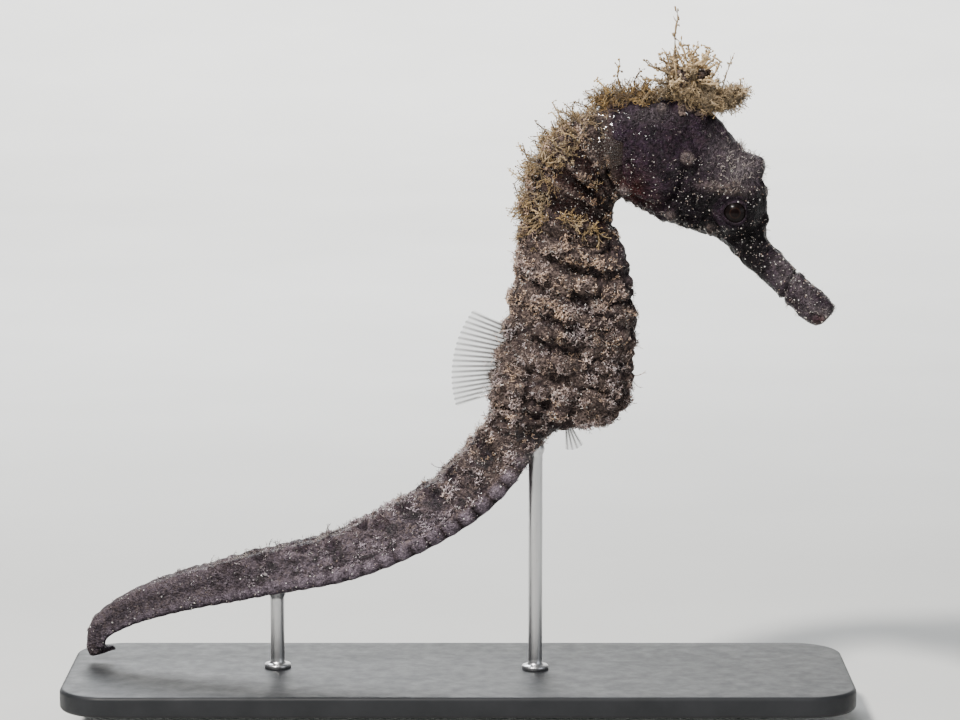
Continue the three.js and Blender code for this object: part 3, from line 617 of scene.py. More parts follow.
def mouth_rows():
    """Rows that round the snout's end over into lips and on into the slit, from the inside out."""
    rim_row, next_row = skin[0], skin[3]
    centre = rim_row.mean(0)
    ahead = unit(centre - next_row.mean(0))
    depth_way = unit(back[0] - belly[0])
    offset = rim_row - centre
    deep = offset @ depth_way
    rows = []
    for depth, width, forward in MOUTH_ROWS:
        shifted = (SLIT_HEIGHT + (deep - SLIT_HEIGHT) * depth)[:, None] * depth_way
        sideways = (offset[:, 1] * width)[:, None] * across
        rows.append(centre + shifted + sideways + forward * ahead)
    return np.array(rows)


def grown(rows):
    """The same values with the first row repeated for each row of the mouth."""
    return np.concatenate([np.repeat(rows[:1], len(MOUTH_ROWS), 0), rows])


skin = np.concatenate([mouth_rows(), skin])
S, A, CREST, TAILED, phi = map(grown, (S, A, CREST, TAILED, phi))
head_part, neck_part, creases, folds = map(grown, (head_part, neck_part, creases, folds))
straight = skin.copy()
print("mouth:", len(MOUTH_ROWS), "rows of lip")

# %% The turn of the head, and the ends
turn = np.where(S[:, 0] < 0, 1.0, np.clip(1 - S[:, 0] / NECK_END, 0, 1) ** 2)


def turned(points, share=1.0):
    """Points turned with the head, by a share of the full turn."""
    angle = HEAD_TURN * np.asarray(share)
    x, y = points[..., 0] - NECK_PIVOT_X, points[..., 1]
    out = np.array(points, float)
    out[..., 0] = NECK_PIVOT_X + x * np.cos(angle) - y * np.sin(angle)
    out[..., 1] = x * np.sin(angle) + y * np.cos(angle)
    return out


skin = turned(skin, turn[:, None])
for end in (skin[0], skin[-1]):
    end += 0.7 * (end.mean(0) - end)
print("head turned:", round(math.degrees(HEAD_TURN)), "degrees; grid now", skin.shape[:2])

# %% [markdown]
# ## The skin's mesh and its unwrap
# The grid becomes one closed mesh of quads, with a fan at each end. Its unwrap is the tube cut open along
# the belly and laid out in three strips at one scale: the tail along the bottom, trunk and head above it.
# Every growth planted on the skin later takes its place on this unwrap.

# %% Mesh and unwrap of the skin
def skin_faces(rows, columns, ring=False):
    """Quads of a grid whose columns close on themselves. In a ring the rows do so too, as on a tyre."""
    r, c = np.meshgrid(np.arange(rows if ring else rows - 1), np.arange(columns), indexing="ij")
    below, after = (r + 1) % rows * columns, (c + 1) % columns
    quads = np.stack([r * columns + c, r * columns + after, below + after, below + c], -1)
    return quads.reshape(-1, 4)


def closed_tube(grid):
    """Points and faces of a grid of rows, with a point at each end so that nothing is open."""
    rows, columns = grid.shape[:2]
    quads = skin_faces(rows, columns)
    points = np.vstack([grid.reshape(-1, 3), grid[0].mean(0), grid[-1].mean(0)])
    c = np.arange(0, columns, 2)
    start, end = rows * columns, rows * columns + 1
    one, two, three = c, (c + 1) % columns, (c + 2) % columns
    last = (rows - 1) * columns
    # A fan of quads round each end point, each taking two columns.
    caps = [np.stack([np.full_like(c, start), three, two, one], -1)]
    caps += [np.stack([np.full_like(c, end), last + one, last + two, last + three], -1)]
    return points, np.vstack([quads, *caps])


def outward(points, faces):
    """Faces of a closed mesh, turned round if they point inwards."""
    points = points - points.mean(0)
    a, b, c = (points[faces[:, k]] for k in range(3))
    inside_out = np.einsum("ij,ij->i", a, np.cross(b, c)).sum() < 0
    return faces[:, ::-1] if inside_out else faces


points, faces = closed_tube(skin)
skin_mesh = mesh_of("skin", points, faces[:, ::-1])
skin_obj = piece("skin", skin_mesh)
print("skin:", len(points), "points,", 2 * len(faces), "triangles")

# %% [markdown]
# ## Markings
# Colour follows the body. The head's hide is nearly black with a violet tinge, greyer on the forehead and
# at the snout's end, and rusty behind the gill cover. Sand and fine growth turn the trunk beige. The
# tail's lobes are a clean greyish lilac, and one mask more is painted shade: it darkens the hollows, the
# lower face and the tail's underside. Each is a mask from 0 to 1, stored at every point. The skin and its
# coat read the same masks, so that their markings agree.

# %% Masks on the skin
x, y, z = (straight[..., k] for k in range(3))


def spots(size, seed):
    return lumps(straight.reshape(-1, 3), size, seed).reshape(x.shape)


patchy = spots(3.1, 21)
fine = spots(1.1, 22)
clumps = ramp(0.62 * spots(1.7, 23) + 0.38 * spots(0.8, 24), -0.28, 0.30) * (1 - 0.85 * creases)
body_part = 1 - head_part
chest = np.clip(1.3 * hill(phi, 7, 2.1) * hill(S, 3.1, 0.95), 0, 1)
lobes = ramp(phi, 3.8, 4.2) * ramp(S, 7.2, 9.5)
tail_end = ramp(S, 20, 27)
bare_spots = ramp(spots(1.6, 29) + 0.3 * spots(0.7, 30), 0.08, 0.30)
bare_spots = bare_spots * ramp(S, 6.2, 8.0) * (1 - ramp(S, 19, 27)) * (1 - lobes)
neck_flank = ramp(S, -0.9, 0.1) * (1 - ramp(S, 2.4, 3.0)) * ramp(phi, 1.3, 2.3)
neck_plate = hill(S, 2.2, 0.3) * hill(phi, 3.7, 1.2)
fold_crest = 0.5 + 0.5 * folds
eye_ridge = hill(z, ridge_over_eye(x), 0.6)

masks = {}
masks["sand"] = body_part * (1 - 0.9 * lobes) * (1 - 0.9 * chest)
masks["sand"] *= 1 - 0.95 * neck_flank * (1 - fold_crest**3)
masks["sand"] *= (1 - 0.8 * creases) * (1 - neck_plate)
masks["sand"] *= np.clip(0.72 + 0.35 * patchy + 0.2 * fine, 0, 1) * (1 - 0.75 * ramp(S, 9, 20))
masks["sand"] += 0.85 * eye_ridge * hill(x, 38.6, 2.2) * head_part
below_back = mix(0.5, 1.0, ramp(phi, 0.6, 2.8))
masks["lilac"] = np.clip(0.9 * ramp(S, 8.4, 13.6) * below_back + 0.25 * patchy * TAILED, 0, 1)
lobe_lilac = np.maximum(CREST**0.3, 0.8 * ramp(S, 12.5, 20))
masks["lilac"] = mix(masks["lilac"] * (1 - 0.8 * bare_spots), lobe_lilac, lobes)
masks["sand"] *= 1 - 0.9 * bare_spots
rust = hill(x, 25.0, 3.4) * hill(z, 71.8, 3.2) * head_part
rust = rust + 0.8 * hill(S, 1.9, 0.75) * hill(phi, 3.4, 1.7) * body_part
rust = rust + 0.95 * neck_flank * (1 - 0.6 * fold_crest) + 1.2 * neck_plate
rust = rust + 1.2 * hill(S, -14, 0.5) * ramp(phi, 2.6, 4.4)
masks["rust"] = np.clip(rust * (0.75 + 0.5 * fine), 0, 1)
forehead = np.exp(-(((x - 40.6) / 3.6) ** 2) - ((z - 76.4) / 3.6) ** 2) * head_part
snout_end = ramp(S, -10.2, -11.4) * (0.45 + 0.4 * fine) * (1 - 0.6 * ramp(phi, 3, 6))
knob_tips = np.zeros_like(x)
for foot, towards, length, radius in HEAD_KNOBS:
    tip = np.array(foot) + unit(np.array(towards, float)) * length
    away = np.sqrt((x - tip[0]) ** 2 + (np.abs(y) - abs(tip[1])) ** 2 + (z - tip[2]) ** 2)
    knob_tips = np.maximum(knob_tips, 1 - ramp(away, 0.5, 1.25))
masks["sand"] += 0.55 * knob_tips * head_part
top_ridge = hill(S, -2.2, 0.9) * hill(phi, 1.7, 0.5)
over_eye = eye_ridge * hill(x, 38.3, 2.6) * head_part
snout_tuft = hill(S, -9.9, 0.7) * hill(phi, 0.9, 1.3) * ramp(fine, -0.4, 0.1)
ash = np.clip(forehead * (0.9 + 0.5 * fine), 0, 1) + knob_tips + snout_end + 0.5 * top_ridge + 0.8 * over_eye
ash = ash + 0.8 * snout_tuft + 0.22 * chest * body_part
masks["ash"] = np.clip(ash, 0, 1)
masks["head"] = np.clip(head_part + 0.7 * chest * body_part, 0, 1)
# The deep mask is painted shade. It darkens the lower face, the creases, the hollows between the neck's folds
# and the gaps between the tail's lobes, and it darkens the tail more below its back than along it. It also
# darkens the neck plate and the tail towards its tip.
low_face = ramp(z, 74.8, 71.2) * ramp(x, 29, 33) * (1 - ramp(x, 43, 46)) * head_part * (1 - 0.6 * over_eye)
deep = 1.1 * low_face + 0.85 * ramp(S, 9.8, 27.5) * TAILED * below_back * (1 - 0.3 * lobes)
deep = deep + (0.6 * creases + 0.95 * neck_flank * (1 - 0.55 * fold_crest)) * body_part
deep = deep + 0.5 * neck_plate + 0.45 * (1 - CREST**0.35) * lobes * (1 - 0.85 * ramp(S, 12, 19))
masks["deep"] = np.clip(deep, 0, 1)
glints = wet_film(x, z)
wet = 1.5 * glints + 0.4 * bare_spots * ramp(phi, 1.2, 2.2)
wet = wet + 0.12 * neck_flank * (1 - fold_crest) + 0.2 * fine * head_part
masks["wet"] = np.clip(wet * (1 - low_face), 0, 1)
for name, values in masks.items():
    print("mask", name, "covers", round(100 * float(values.mean())), "% of the skin")

# %% [markdown]
# More masks say where the coat grows: a turf of curls on trunk and tail, long weed on the nape, fine down on
# the brow and along the back, grit everywhere, and tassels and thin wisps that stand out of the turf. Another
# says how pale the weed is.

# %% Where the coat grows
bald = 1 - np.clip(lobes + 0.92 * chest, 0, 1)
turf = body_part * bald * (0.45 + 0.55 * CREST) * mix(0.22, 1.0, clumps) * (1 + 0.12 * hill(S, 3.6, 1.2))
turf *= mix(1, 0.03 + 1.0 * fold_crest**3, neck_flank) * mix(1, 0.12, tail_end) * (1 - 0.5 * ramp(S, 11, 20))
turf *= (1 - 0.9 * np.clip(glints, 0, 1)) * (1 - 0.95 * np.clip(1.4 * neck_plate, 0, 1))
turf *= (1 - 0.35 * hill(phi, 7, 1.0) * (1 - TAILED)) * (1 - 0.85 * bare_spots)
masks["turf"] = np.clip(turf, 0, 1)
nape_edge = mix(1.9, 2.7, ramp(S, 0.0, 1.2))
nape = (1 - ramp(phi / nape_edge, 0.45, 1.0)) * ramp(S, -2.9, -1.9) * (1 - ramp(S, 2.4, 3.7))
hanging = neck_flank * fold_crest**3.5 * (1 - ramp(phi, 4.2, 5.2)) * ramp(spots(1.9, 34), -0.3, 0.2)
masks["weedy"] = np.clip(nape * (0.8 + 0.5 * fine) + 1.3 * hanging, 0, 1)
masks["pale"] = mix(0.6, 0.2, ramp(S, 0.0, 2.5)) * body_part
down = 0.8 * forehead + 0.5 * hill(phi, 0, 1.2) * ramp(S, 3, 5) * (1 - tail_end) + 0.4 * snout_end
down = down + 0.35 * hill(phi, 7, 0.8) * ramp(S, 3, 4) * (1 - TAILED)
down = down + 0.16 * head_part * ramp(spots(1.3, 28), 0.0, 0.5)
masks["down"] = np.clip(down + 0.6 * snout_tuft, 0, 1)
off_eye = ramp(np.hypot(x - EYE["x"], z - EYE["z"]), 1.9, 2.3)
# Grit sets where pale grains and dots go. They are sand, and on the lower head they also stand in as painted
# glints.
peppered = head_part * mix(0.12, 0.85, ramp(z, 79.5, 72.5))
grit = peppered + 0.6 * forehead + 0.3 * neck_part + 0.6 * neck_plate
grit = grit + (0.35 + 0.25 * lobes) * body_part + snout_end
masks["grit"] = np.clip(grit * mix(0.6, 1.1, ramp(spots(1.4, 27), -0.3, 0.3)), 0, 1) * off_eye
masks["down"] *= off_eye
masks["tassel"] = np.clip(body_part * (1 - TAILED) * bald * CREST**3 * ramp(clumps, 0.3, 0.9), 0, 1)
masks["tassel"] *= ramp(phi, 0.8, 2.0) * (1 - ramp(phi, 5.6, 6.6)) * ramp(S, 1.0, 1.8) * (1 - neck_flank)
on_folds = 0.9 * neck_flank * fold_crest**4 * ramp(S, 0.2, 0.6) * (1 - ramp(phi, 5.2, 6.2))
masks["tassel"] += on_folds * ramp(fine, -0.3, 0.2)
tail_top = TAILED * hill(phi, 0, 1.3) * ramp(S, 6.5, 7.5) * (1 - ramp(S, 15, 18)) * ramp(fine, 0.0, 0.35)
masks["tassel"] = np.clip(masks["tassel"] + 0.8 * tail_top, 0, 1)
edges = np.maximum(hill(phi, 0, 1.6), 0.8 * hill(phi, 7, 1.3) * (1 - TAILED))
masks["wispy"] = body_part * bald * (0.12 + 0.88 * edges) * ramp(S, 1.5, 2.5) * (1 - ramp(S, 21, 26))
masks["wispy"] *= ramp(spots(2.0, 35), -0.35, 0.25)
masks["place"] = S

gravity = np.array([0, 0, -1.0])
skin_normals = grid_normals(skin)
tailward = unit(np.gradient(skin, axis=0))
lie = tailward * np.where(S[..., None] < -8, -1, 1) + 0.6 * gravity
lie = lie + 0.9 * np.stack([spots(2.3, 31), spots(2.3, 32), spots(2.3, 33)], -1)
lie = unit(lie - (lie * skin_normals).sum(-1, keepdims=True) * skin_normals)


def with_ends(values):
    """Adds the two end points' values, which are those of the end rows."""
    values = values.reshape(skin.shape[0], COLUMNS, -1)
    with_both = np.vstack([values.reshape(-1, values.shape[-1]), values[0].mean(0), values[-1].mean(0)])
    return with_both.squeeze()


store_values(skin_mesh, **{name: with_ends(values) for name, values in masks.items()}, lie=with_ends(lie))
print("coat masks: turf covers", round(100 * float(masks["turf"].mean())), "% of the skin")

# %% The unwrap, as a UV map
UNWRAP_SCALE = 1 / 118
step_round = np.linalg.norm(np.roll(skin, -1, 1) - skin, axis=-1)
round_edge = np.hstack([np.zeros((len(skin), 1)), np.cumsum(step_round, 1)])
round_edge = round_edge - round_edge[:, -1:] / 2
neck_row, tail_row = int(np.argmax(S[:, 0] > 0)), int(np.argmax(S[:, 0] > TAIL_START))
# First row, last row, left edge and middle height of each strip on the map.
STRIPS = [(0, neck_row, 0.5, 0.64), (neck_row, tail_row, 0.01, 0.64), (tail_row, len(skin) - 1, 0.01, 0.14)]
corner_map = np.zeros((len(skin) - 1, COLUMNS, 4, 2))
for first, last, left, height in STRIPS:
    for corner, (down, aside) in enumerate([(1, 0), (1, 1), (0, 1), (0, 0)]):
        r = np.arange(first, last) + down
        u = left + (A[r, 0] - A[first, 0]) * UNWRAP_SCALE
        v = height + round_edge[r, aside : aside + COLUMNS] * UNWRAP_SCALE
        corner_map[first:last, :, corner, 0] = u[:, None]
        corner_map[first:last, :, corner, 1] = v
cap_faces = len(skin_mesh.polygons) - (len(skin) - 1) * COLUMNS
caps = [corner_map[row, column::2][: COLUMNS // 2] for row, column in ((0, 0), (-1, 0))]
all_corners = np.concatenate([corner_map.reshape(-1, 4, 2), *caps])
for name in ("OFBake", "skin_place"):
    skin_mesh.uv_layers.new(name=name)
    skin_mesh.uv_layers[name].data.foreach_set("uv", all_corners.astype(np.float32).ravel())
unwrap_low, unwrap_high = all_corners.min((0, 1)).round(3), all_corners.max((0, 1)).round(3)
print("unwrap: from", unwrap_low, "to", unwrap_high, "with", cap_faces, "cap faces")

# %% [markdown]
# ## Building node trees
# Shader trees and geometry trees are both nodes and links. So one small helper places a node, sets its
# options and joins its inputs, and the others are short names for the nodes that are used most.

# %% Helpers for node trees
def socket(sockets, name):
    """The socket of that name that is in use: some nodes keep one for each type of value."""
    return next(s for s in sockets if s.name == name and s.enabled)


def join(tree, node, inputs):
    """Gives a node its inputs. Each is a number, a colour or another node's output."""
    for name, value in inputs.items():
        target = node.inputs[name] if isinstance(name, int) else socket(node.inputs, name)
        if isinstance(value, bpy.types.NodeSocket):
            tree.links.new(value, target)
        else:
            target.default_value = value
    return node


def put(tree, kind, inputs=None, **options):
    """Adds a node with its options and its inputs."""
    node = tree.nodes.new(kind)
    for option, value in options.items():
        setattr(node, option, value)
    return join(tree, node, inputs or {})


def math_node(tree, operation, a, b, clamp=False):
    return put(tree, "ShaderNodeMath", {0: a, 1: b}, operation=operation, use_clamp=clamp).outputs[0]


def times(tree, a, b, clamp=False):
    return math_node(tree, "MULTIPLY", a, b, clamp)


def plus(tree, a, b):
    return math_node(tree, "ADD", a, b)


def blend(tree, share, a, b):
    """A colour between two others, each three numbers or an output."""
    a, b = (colour if isinstance(colour, bpy.types.NodeSocket) else (*colour, 1) for colour in (a, b))
    return put(tree, "ShaderNodeMix", {0: share, 6: a, 7: b}, data_type="RGBA", clamp_factor=True).outputs[2]


def scaled(tree, colour, by):
    """A colour made lighter or darker by a factor."""
    return put(tree, "ShaderNodeVectorMath", {0: colour, "Scale": by}, operation="SCALE").outputs[0]


def bump_of(tree, height, strength, depth):
    """A bump for a shader's Normal, with its depth in metres."""
    return put(tree, "ShaderNodeBump", {"Height": height, "Strength": strength, "Distance": depth}).outputs[0]


def mask_of(tree, name):
    return put(tree, "ShaderNodeAttribute", attribute_name=name).outputs["Fac"]


def noise(tree, vector, scale, detail=3.0, roughness=0.55):
    inputs = {"Vector": vector, "Scale": scale, "Detail": detail, "Roughness": roughness}
    return put(tree, "ShaderNodeTexNoise", inputs).outputs[0]


def span(tree, value, low, high, to_low=0.0, to_high=1.0):
    """Maps a value from one span to another, held at both ends."""
    inputs = {"Value": value, "From Min": low, "From Max": high, "To Min": to_low, "To Max": to_high}
    return put(tree, "ShaderNodeMapRange", inputs, clamp=True).outputs[0]


def group(name, kind, inputs, outputs):
    """A node group with named sockets, each given as its type or as the number that it starts with."""
    tree = bpy.data.node_groups.new(name, kind)
    for way, sockets in (("INPUT", inputs), ("OUTPUT", outputs)):
        for label, form in sockets.items():
            kind_of_socket = form if isinstance(form, str) else "Int" if isinstance(form, int) else "Float"
            made = tree.interface.new_socket(label, in_out=way, socket_type="NodeSocket" + kind_of_socket)
            if not isinstance(form, str):
                made.default_value = form
    return tree, tree.nodes.new("NodeGroupInput").outputs, tree.nodes.new("NodeGroupOutput").inputs


def new_material(name):
    material = bpy.data.materials.new(name)
    material.use_nodes = True
    tree = material.node_tree
    return material, tree, tree.nodes["Principled BSDF"]


def use(tree, node_group, inputs):
    return put(tree, "ShaderNodeGroup", inputs, node_tree=node_group).outputs


def object_place(tree):
    return put(tree, "ShaderNodeTexCoord").outputs["Object"]

# %% [markdown]
# ## Shared finishes
# "markings" turns the masks into colour, broken up by fine noise, for the hide and for the turf on it, and
# darkens it with painted shade. "grain" makes the hide's granular relief and the pale pinpoint dots that
# pepper the head of this species; the dots also stand in as painted glints.

# %% The shader group for markings
MASK_NAMES = ["head", "sand", "rust", "lilac", "ash", "deep"]
# Night, dusk and umber are the bare hide, and the others lie over it where their mask is.
NIGHT, DUSK = (0.0055, 0.0030, 0.0056), (0.029, 0.0165, 0.0300)
UMBER = (0.032, 0.0180, 0.0185)
RUST, SAND = (0.048, 0.013, 0.010), (0.212, 0.151, 0.131)
LILAC, ASH = (0.188, 0.152, 0.186), (0.115, 0.096, 0.104)

takes = {**{name: 0.0 for name in MASK_NAMES}, "place": "Vector", "lightness": 1.0}
markings, have, give = group("markings", "ShaderNodeTree", takes, {"colour": "Color"})
broad = noise(markings, have["place"], 420, 3)
small = noise(markings, have["place"], 1900, 4, 0.65)
medium = noise(markings, have["place"], 1100, 3, 0.6)
less_on_head = span(markings, have["head"], 0, 1, 1, 0.45)
brownish = times(markings, span(markings, medium, 0.40, 0.58), less_on_head)
bare = blend(markings, brownish, DUSK, UMBER)
uneven = plus(markings, times(markings, broad, 0.55), times(markings, small, 0.45))
colour = blend(markings, span(markings, uneven, 0.43, 0.62), NIGHT, bare)
layers = [("rust", RUST, 0.9), ("sand", SAND, 0.95), ("lilac", LILAC, 0.95), ("ash", ASH, 0.8)]
for name, shade, reach in layers:
    broken = times(markings, span(markings, small, 0.3, 0.62, 0.55, 1.15), have[name])
    share = times(markings, broken, reach, clamp=True)
    colour = blend(markings, share, colour, shade)
speckle = noise(markings, have["place"], 4600, 3, 0.6)
patchy_light = span(markings, small, 0.25, 0.75, 0.6, 1.4)
rough_light = times(markings, span(markings, speckle, 0.3, 0.7, 0.35, 1.75), patchy_light)
# The lightness given in carries painted shade under the coat and at the roots of strands, besides each tuft's
# own tone. The deep mask adds painted shade, down to a quarter.
shade = times(markings, rough_light, have["lightness"])
shade = times(markings, shade, span(markings, have["deep"], 0, 1, 1, 0.25))
markings.links.new(scaled(markings, colour, shade), give["colour"])
print("markings: a group of", len(markings.nodes), "nodes")

# %% The shader group for grain and dots
takes = {"place": "Vector", "cells per metre": 3600.0, "dots": 0.5}
gives = {"height": "Float", "dots": "Float", "tone": "Float"}
grain, have, give = group("grain", "ShaderNodeTree", takes, gives)
cells = put(grain, "ShaderNodeTexVoronoi", {"Vector": have["place"], "Scale": have["cells per metre"]})
pebble = span(grain, cells.outputs["Distance"], 0.0, 0.75, 1.0, 0.0)
wrinkle = noise(grain, have["place"], 3200, 4, 0.6)
height = plus(grain, times(grain, pebble, 0.7), wrinkle)
grain.links.new(height, give["height"])
cell_tone = put(grain, "ShaderNodeSeparateColor", {"Color": cells.outputs["Color"]})
grain.links.new(cell_tone.outputs[1], give["tone"])
dot_cells = put(grain, "ShaderNodeTexVoronoi", {"Vector": have["place"], "Scale": 1500.0})
chance = put(grain, "ShaderNodeSeparateColor", {"Color": dot_cells.outputs["Color"]})
radius = span(grain, chance.outputs[1], 0.0, 1.0, 0.06, 0.17)
inside = math_node(grain, "LESS_THAN", dot_cells.outputs["Distance"], radius)
chosen = math_node(grain, "LESS_THAN", chance.outputs[0], have["dots"])
grain.links.new(times(grain, inside, chosen), give["dots"])
print("grain: a group of", len(grain.nodes), "nodes")

# %% [markdown]
# ## The hide
# Wet skin is dark and glossy where it is bare, and dull where sand lies on it; under the sand it is also
# darkened, as painted shade beneath the coat. The dots are paler and sit on top, partly as painted glints.
# Bump carries only
# what is finer than the mesh: pebbled grain and wrinkles, tenths of a millimetre deep.

# %% The hide material
hide, tree, shader = new_material("hide")
place = object_place(tree)
masks_in = {name: mask_of(tree, name) for name in MASK_NAMES}
# Painted shade under the coat: the hide is made darker where sand and turf lie on it.
shade_under_coat = span(tree, masks_in["sand"], 0.0, 0.8, 0.85, 0.4)
colour = use(tree, markings, {**masks_in, "place": place, "lightness": shade_under_coat})["colour"]
dot_share = span(tree, mask_of(tree, "grit"), 0.1, 0.9, 0.08, 0.75)
dotted = use(tree, grain, {"place": place, "dots": dot_share})
grain_tone = span(tree, dotted["tone"], 0.35, 1.0)
grain_colour = blend(tree, grain_tone, (0.010, 0.007, 0.009), (0.268, 0.200, 0.172))
crusted = times(tree, masks_in["sand"], 0.62)
colour = blend(tree, crusted, colour, grain_colour)
# Pale dots that the species has, which also stand in as painted glints on wet bumps.
colour = blend(tree, dotted["dots"], colour, (0.62, 0.60, 0.58))
dull = math_node(tree, "MAXIMUM", masks_in["sand"], times(tree, masks_in["lilac"], 0.8))
rough = span(tree, dull, 0.0, 1.0, 0.36, 0.82)
wetter = times(tree, mask_of(tree, "wet"), 0.2)
patches = span(tree, noise(tree, place, 900, 2), 0.3, 0.7, -0.12, 0.12)
rough = math_node(tree, "ADD", math_node(tree, "SUBTRACT", rough, wetter), patches, clamp=True)
smoother = span(tree, masks_in["lilac"], 0.3, 1.0, 1.0, 0.55)
pebbled = bump_of(tree, times(tree, dotted["height"], smoother), 0.9, 0.00032)
finish = {"Base Color": colour, "Roughness": rough, "Normal": pebbled, "Coat Weight": mask_of(tree, "wet")}
join(tree, shader, {**finish, "Specular IOR Level": 0.13, "Coat Roughness": 0.07})
skin_mesh.materials.append(hide)
print("hide: a material of", len(tree.nodes), "nodes")

# %% The skin takes its place
FLESH_STARTS = ("head", "gill", "snout", "lower_jaw", "neck", "tr", "tail")
FLESH = [name for name in frame["nodes"] if name.startswith(FLESH_STARTS)]
dress(skin_obj, "hide", *FLESH)
print("skin stands for", len(FLESH), "nodes")

# %% [markdown]
# ## Eyes
# The eyeball is a sphere with its pole at the pupil, so that its rows are rings of the iris. It stores the
# way out from the pole at each point, which the material needs for its streaks. A lid of two soft folds
# closes round it, turned from one profile, and its outer edge sinks into the turret.

# %% Eyeballs
def around(profile, count, wobble=0.0, seed=1):
    """A grid turned from a profile of radius and height, about +Z, with a little unevenness."""
    angle = circle(count)
    profile = np.array(profile, float)
    ring = np.stack([np.cos(angle), np.sin(angle)], -1)
    flat_ring = profile[:, None, :1] * ring[None]
    grid = np.concatenate([flat_ring, np.repeat(profile[:, None, 1:], count, 1)], -1)
    uneven = lumps(grid.reshape(-1, 3), 0.55, seed).reshape(grid.shape[:2])
    return grid + wobble * uneven[..., None] * unit(grid)


EYE_TILT = math.radians(10)
EYE_COLUMNS, LID_COLUMNS = 64, 112


def on_eye(points, side):
    """Puts points made about +Z on the eye of one side: -1 is the right. The eye looks a little forward."""
    px, py, pz = points[..., 0], points[..., 1], points[..., 2]
    out = pz * math.cos(EYE_TILT) - px * math.sin(EYE_TILT)
    forward = pz * math.sin(EYE_TILT) + px * math.cos(EYE_TILT)
    local = np.stack([EYE["x"] + forward, side * (EYE["out"] + out), EYE["z"] + py], -1)
    return turned(local)


EYE_SIDES = {"right": -1, "left": 1}
polar = np.linspace(0.03, np.pi - 0.05, 44)
bulge = 1 + 0.035 * hill(polar, 0, 0.6)
eye_profile = np.c_[EYE["radius"] * np.sin(polar) * bulge, EYE["radius"] * np.cos(polar) * bulge]
eyeball_grid = around(eye_profile, EYE_COLUMNS)
eye_away = np.repeat((polar / np.pi)[:, None], EYE_COLUMNS, 1)
eye_round = circle(EYE_COLUMNS)
iris_place = np.stack([eye_away * np.cos(eye_round), eye_away * np.sin(eye_round), 0 * eye_away], -1)
# Last come the two end points of the sphere: the pupil's middle and the back.
iris_place = np.vstack([iris_place.reshape(-1, 3), [[0, 0, 0], [1, 0, 0]]])
eyeballs = {}
for name, side in EYE_SIDES.items():
    points, faces = closed_tube(on_eye(eyeball_grid, side))
    mesh = mesh_of("eyeball_" + name, points, outward(points, faces))
    store_values(mesh, iris=iris_place)
    eyeballs[name] = piece("eyeball_" + name, mesh)
print("eyeballs:", 2 * len(mesh.polygons), "triangles each")

# %% The eye's material
eye_material, tree, shader = new_material("eye")
iris = put(tree, "ShaderNodeAttribute", attribute_name="iris").outputs["Vector"]
away = put(tree, "ShaderNodeVectorMath", {0: iris}, operation="LENGTH").outputs["Value"]
heading = put(tree, "ShaderNodeVectorMath", {0: iris}, operation="NORMALIZE").outputs[0]
streaks = noise(tree, heading, 9, 4, 0.7)
ring_noise = noise(tree, object_place(tree), 2600, 3)
iris_colour = blend(tree, span(tree, streaks, 0.46, 0.66), (0.003, 0.002, 0.002), (0.011, 0.007, 0.007))
outer = span(tree, away, 0.24, 0.36)
colour = blend(tree, outer, iris_colour, (0.007, 0.005, 0.006))
flecks = times(tree, span(tree, streaks, 0.6, 0.7), span(tree, ring_noise, 0.5, 0.6))
colour = blend(tree, flecks, colour, (0.032, 0.028, 0.029))
gold = times(tree, span(tree, away, 0.085, 0.10), span(tree, away, 0.125, 0.11))
colour = blend(tree, gold, colour, (0.015, 0.007, 0.005))
colour = blend(tree, span(tree, away, 0.10, 0.085), colour, (0.004, 0.002, 0.002))
finish = {"Base Color": colour, "Roughness": 0.3, "Specular IOR Level": 0.05}
join(tree, shader, {**finish, "Coat Weight": 0.11, "Coat Roughness": 0.06})
for name, obj in eyeballs.items():
    obj.data.materials.append(eye_material)
    dress(obj, "eye", "eye_" + name)
print("eye: a material of", len(tree.nodes), "nodes")

# %% Eyelids
# Distance from the eye's axis, and height above the eyeball's middle, once round the lid's section.
LID_PROFILE = [
    (1.40, 1.28), (1.45, 1.58), (1.53, 1.70), (1.66, 1.66), (1.80, 1.50), (1.93, 1.30), (2.04, 1.20),
    (2.18, 1.20), (2.34, 1.18), (2.50, 1.04), (2.70, 0.80), (2.95, 0.45), (3.05, 0.05), (2.40, -0.30),
    (1.90, 0.20), (1.60, 0.80),
]
lid_steps = np.linspace(0, len(LID_PROFILE), 64, endpoint=False)
lid_profile = spline(np.array(LID_PROFILE + LID_PROFILE[:1]), lid_steps)
lid_grid = around(lid_profile, LID_COLUMNS)
lid_round = circle(LID_COLUMNS)
oval = 1 + 0.05 * np.cos(2 * lid_round) - 0.03 * np.cos(3 * lid_round + 0.6)
lid_grid[..., :2] *= oval[None, :, None]
lid_creases = np.sin(23 * lid_round + 2 * lumps(lid_grid[0], 0.8, 41))
lid_away = np.linalg.norm(lid_grid[..., :2], axis=-1)
lid_grid[..., 2] += 0.035 * lid_creases[None] * ramp(lid_away, 1.5, 1.9)
lid_grid[..., 2] += 0.05 * lumps(lid_grid.reshape(-1, 3), 0.4, 42).reshape(lid_away.shape)
for name, side in EYE_SIDES.items():
    points = on_eye(lid_grid, side).reshape(-1, 3)
    faces = outward(points, skin_faces(*lid_grid.shape[:2], ring=True))
    mesh = mesh_of("eyelid_" + name, points, faces)
    everywhere = np.ones(len(points))
    store_values(mesh, head=everywhere, ash=0.12 * ramp(lid_away, 1.75, 1.5).ravel(), grit=0.4 * everywhere)
    mesh.materials.append(hide)
    dress(piece("eyelid_" + name, mesh), "hide")
print("eyelids:", 2 * len(mesh.polygons), "triangles each")
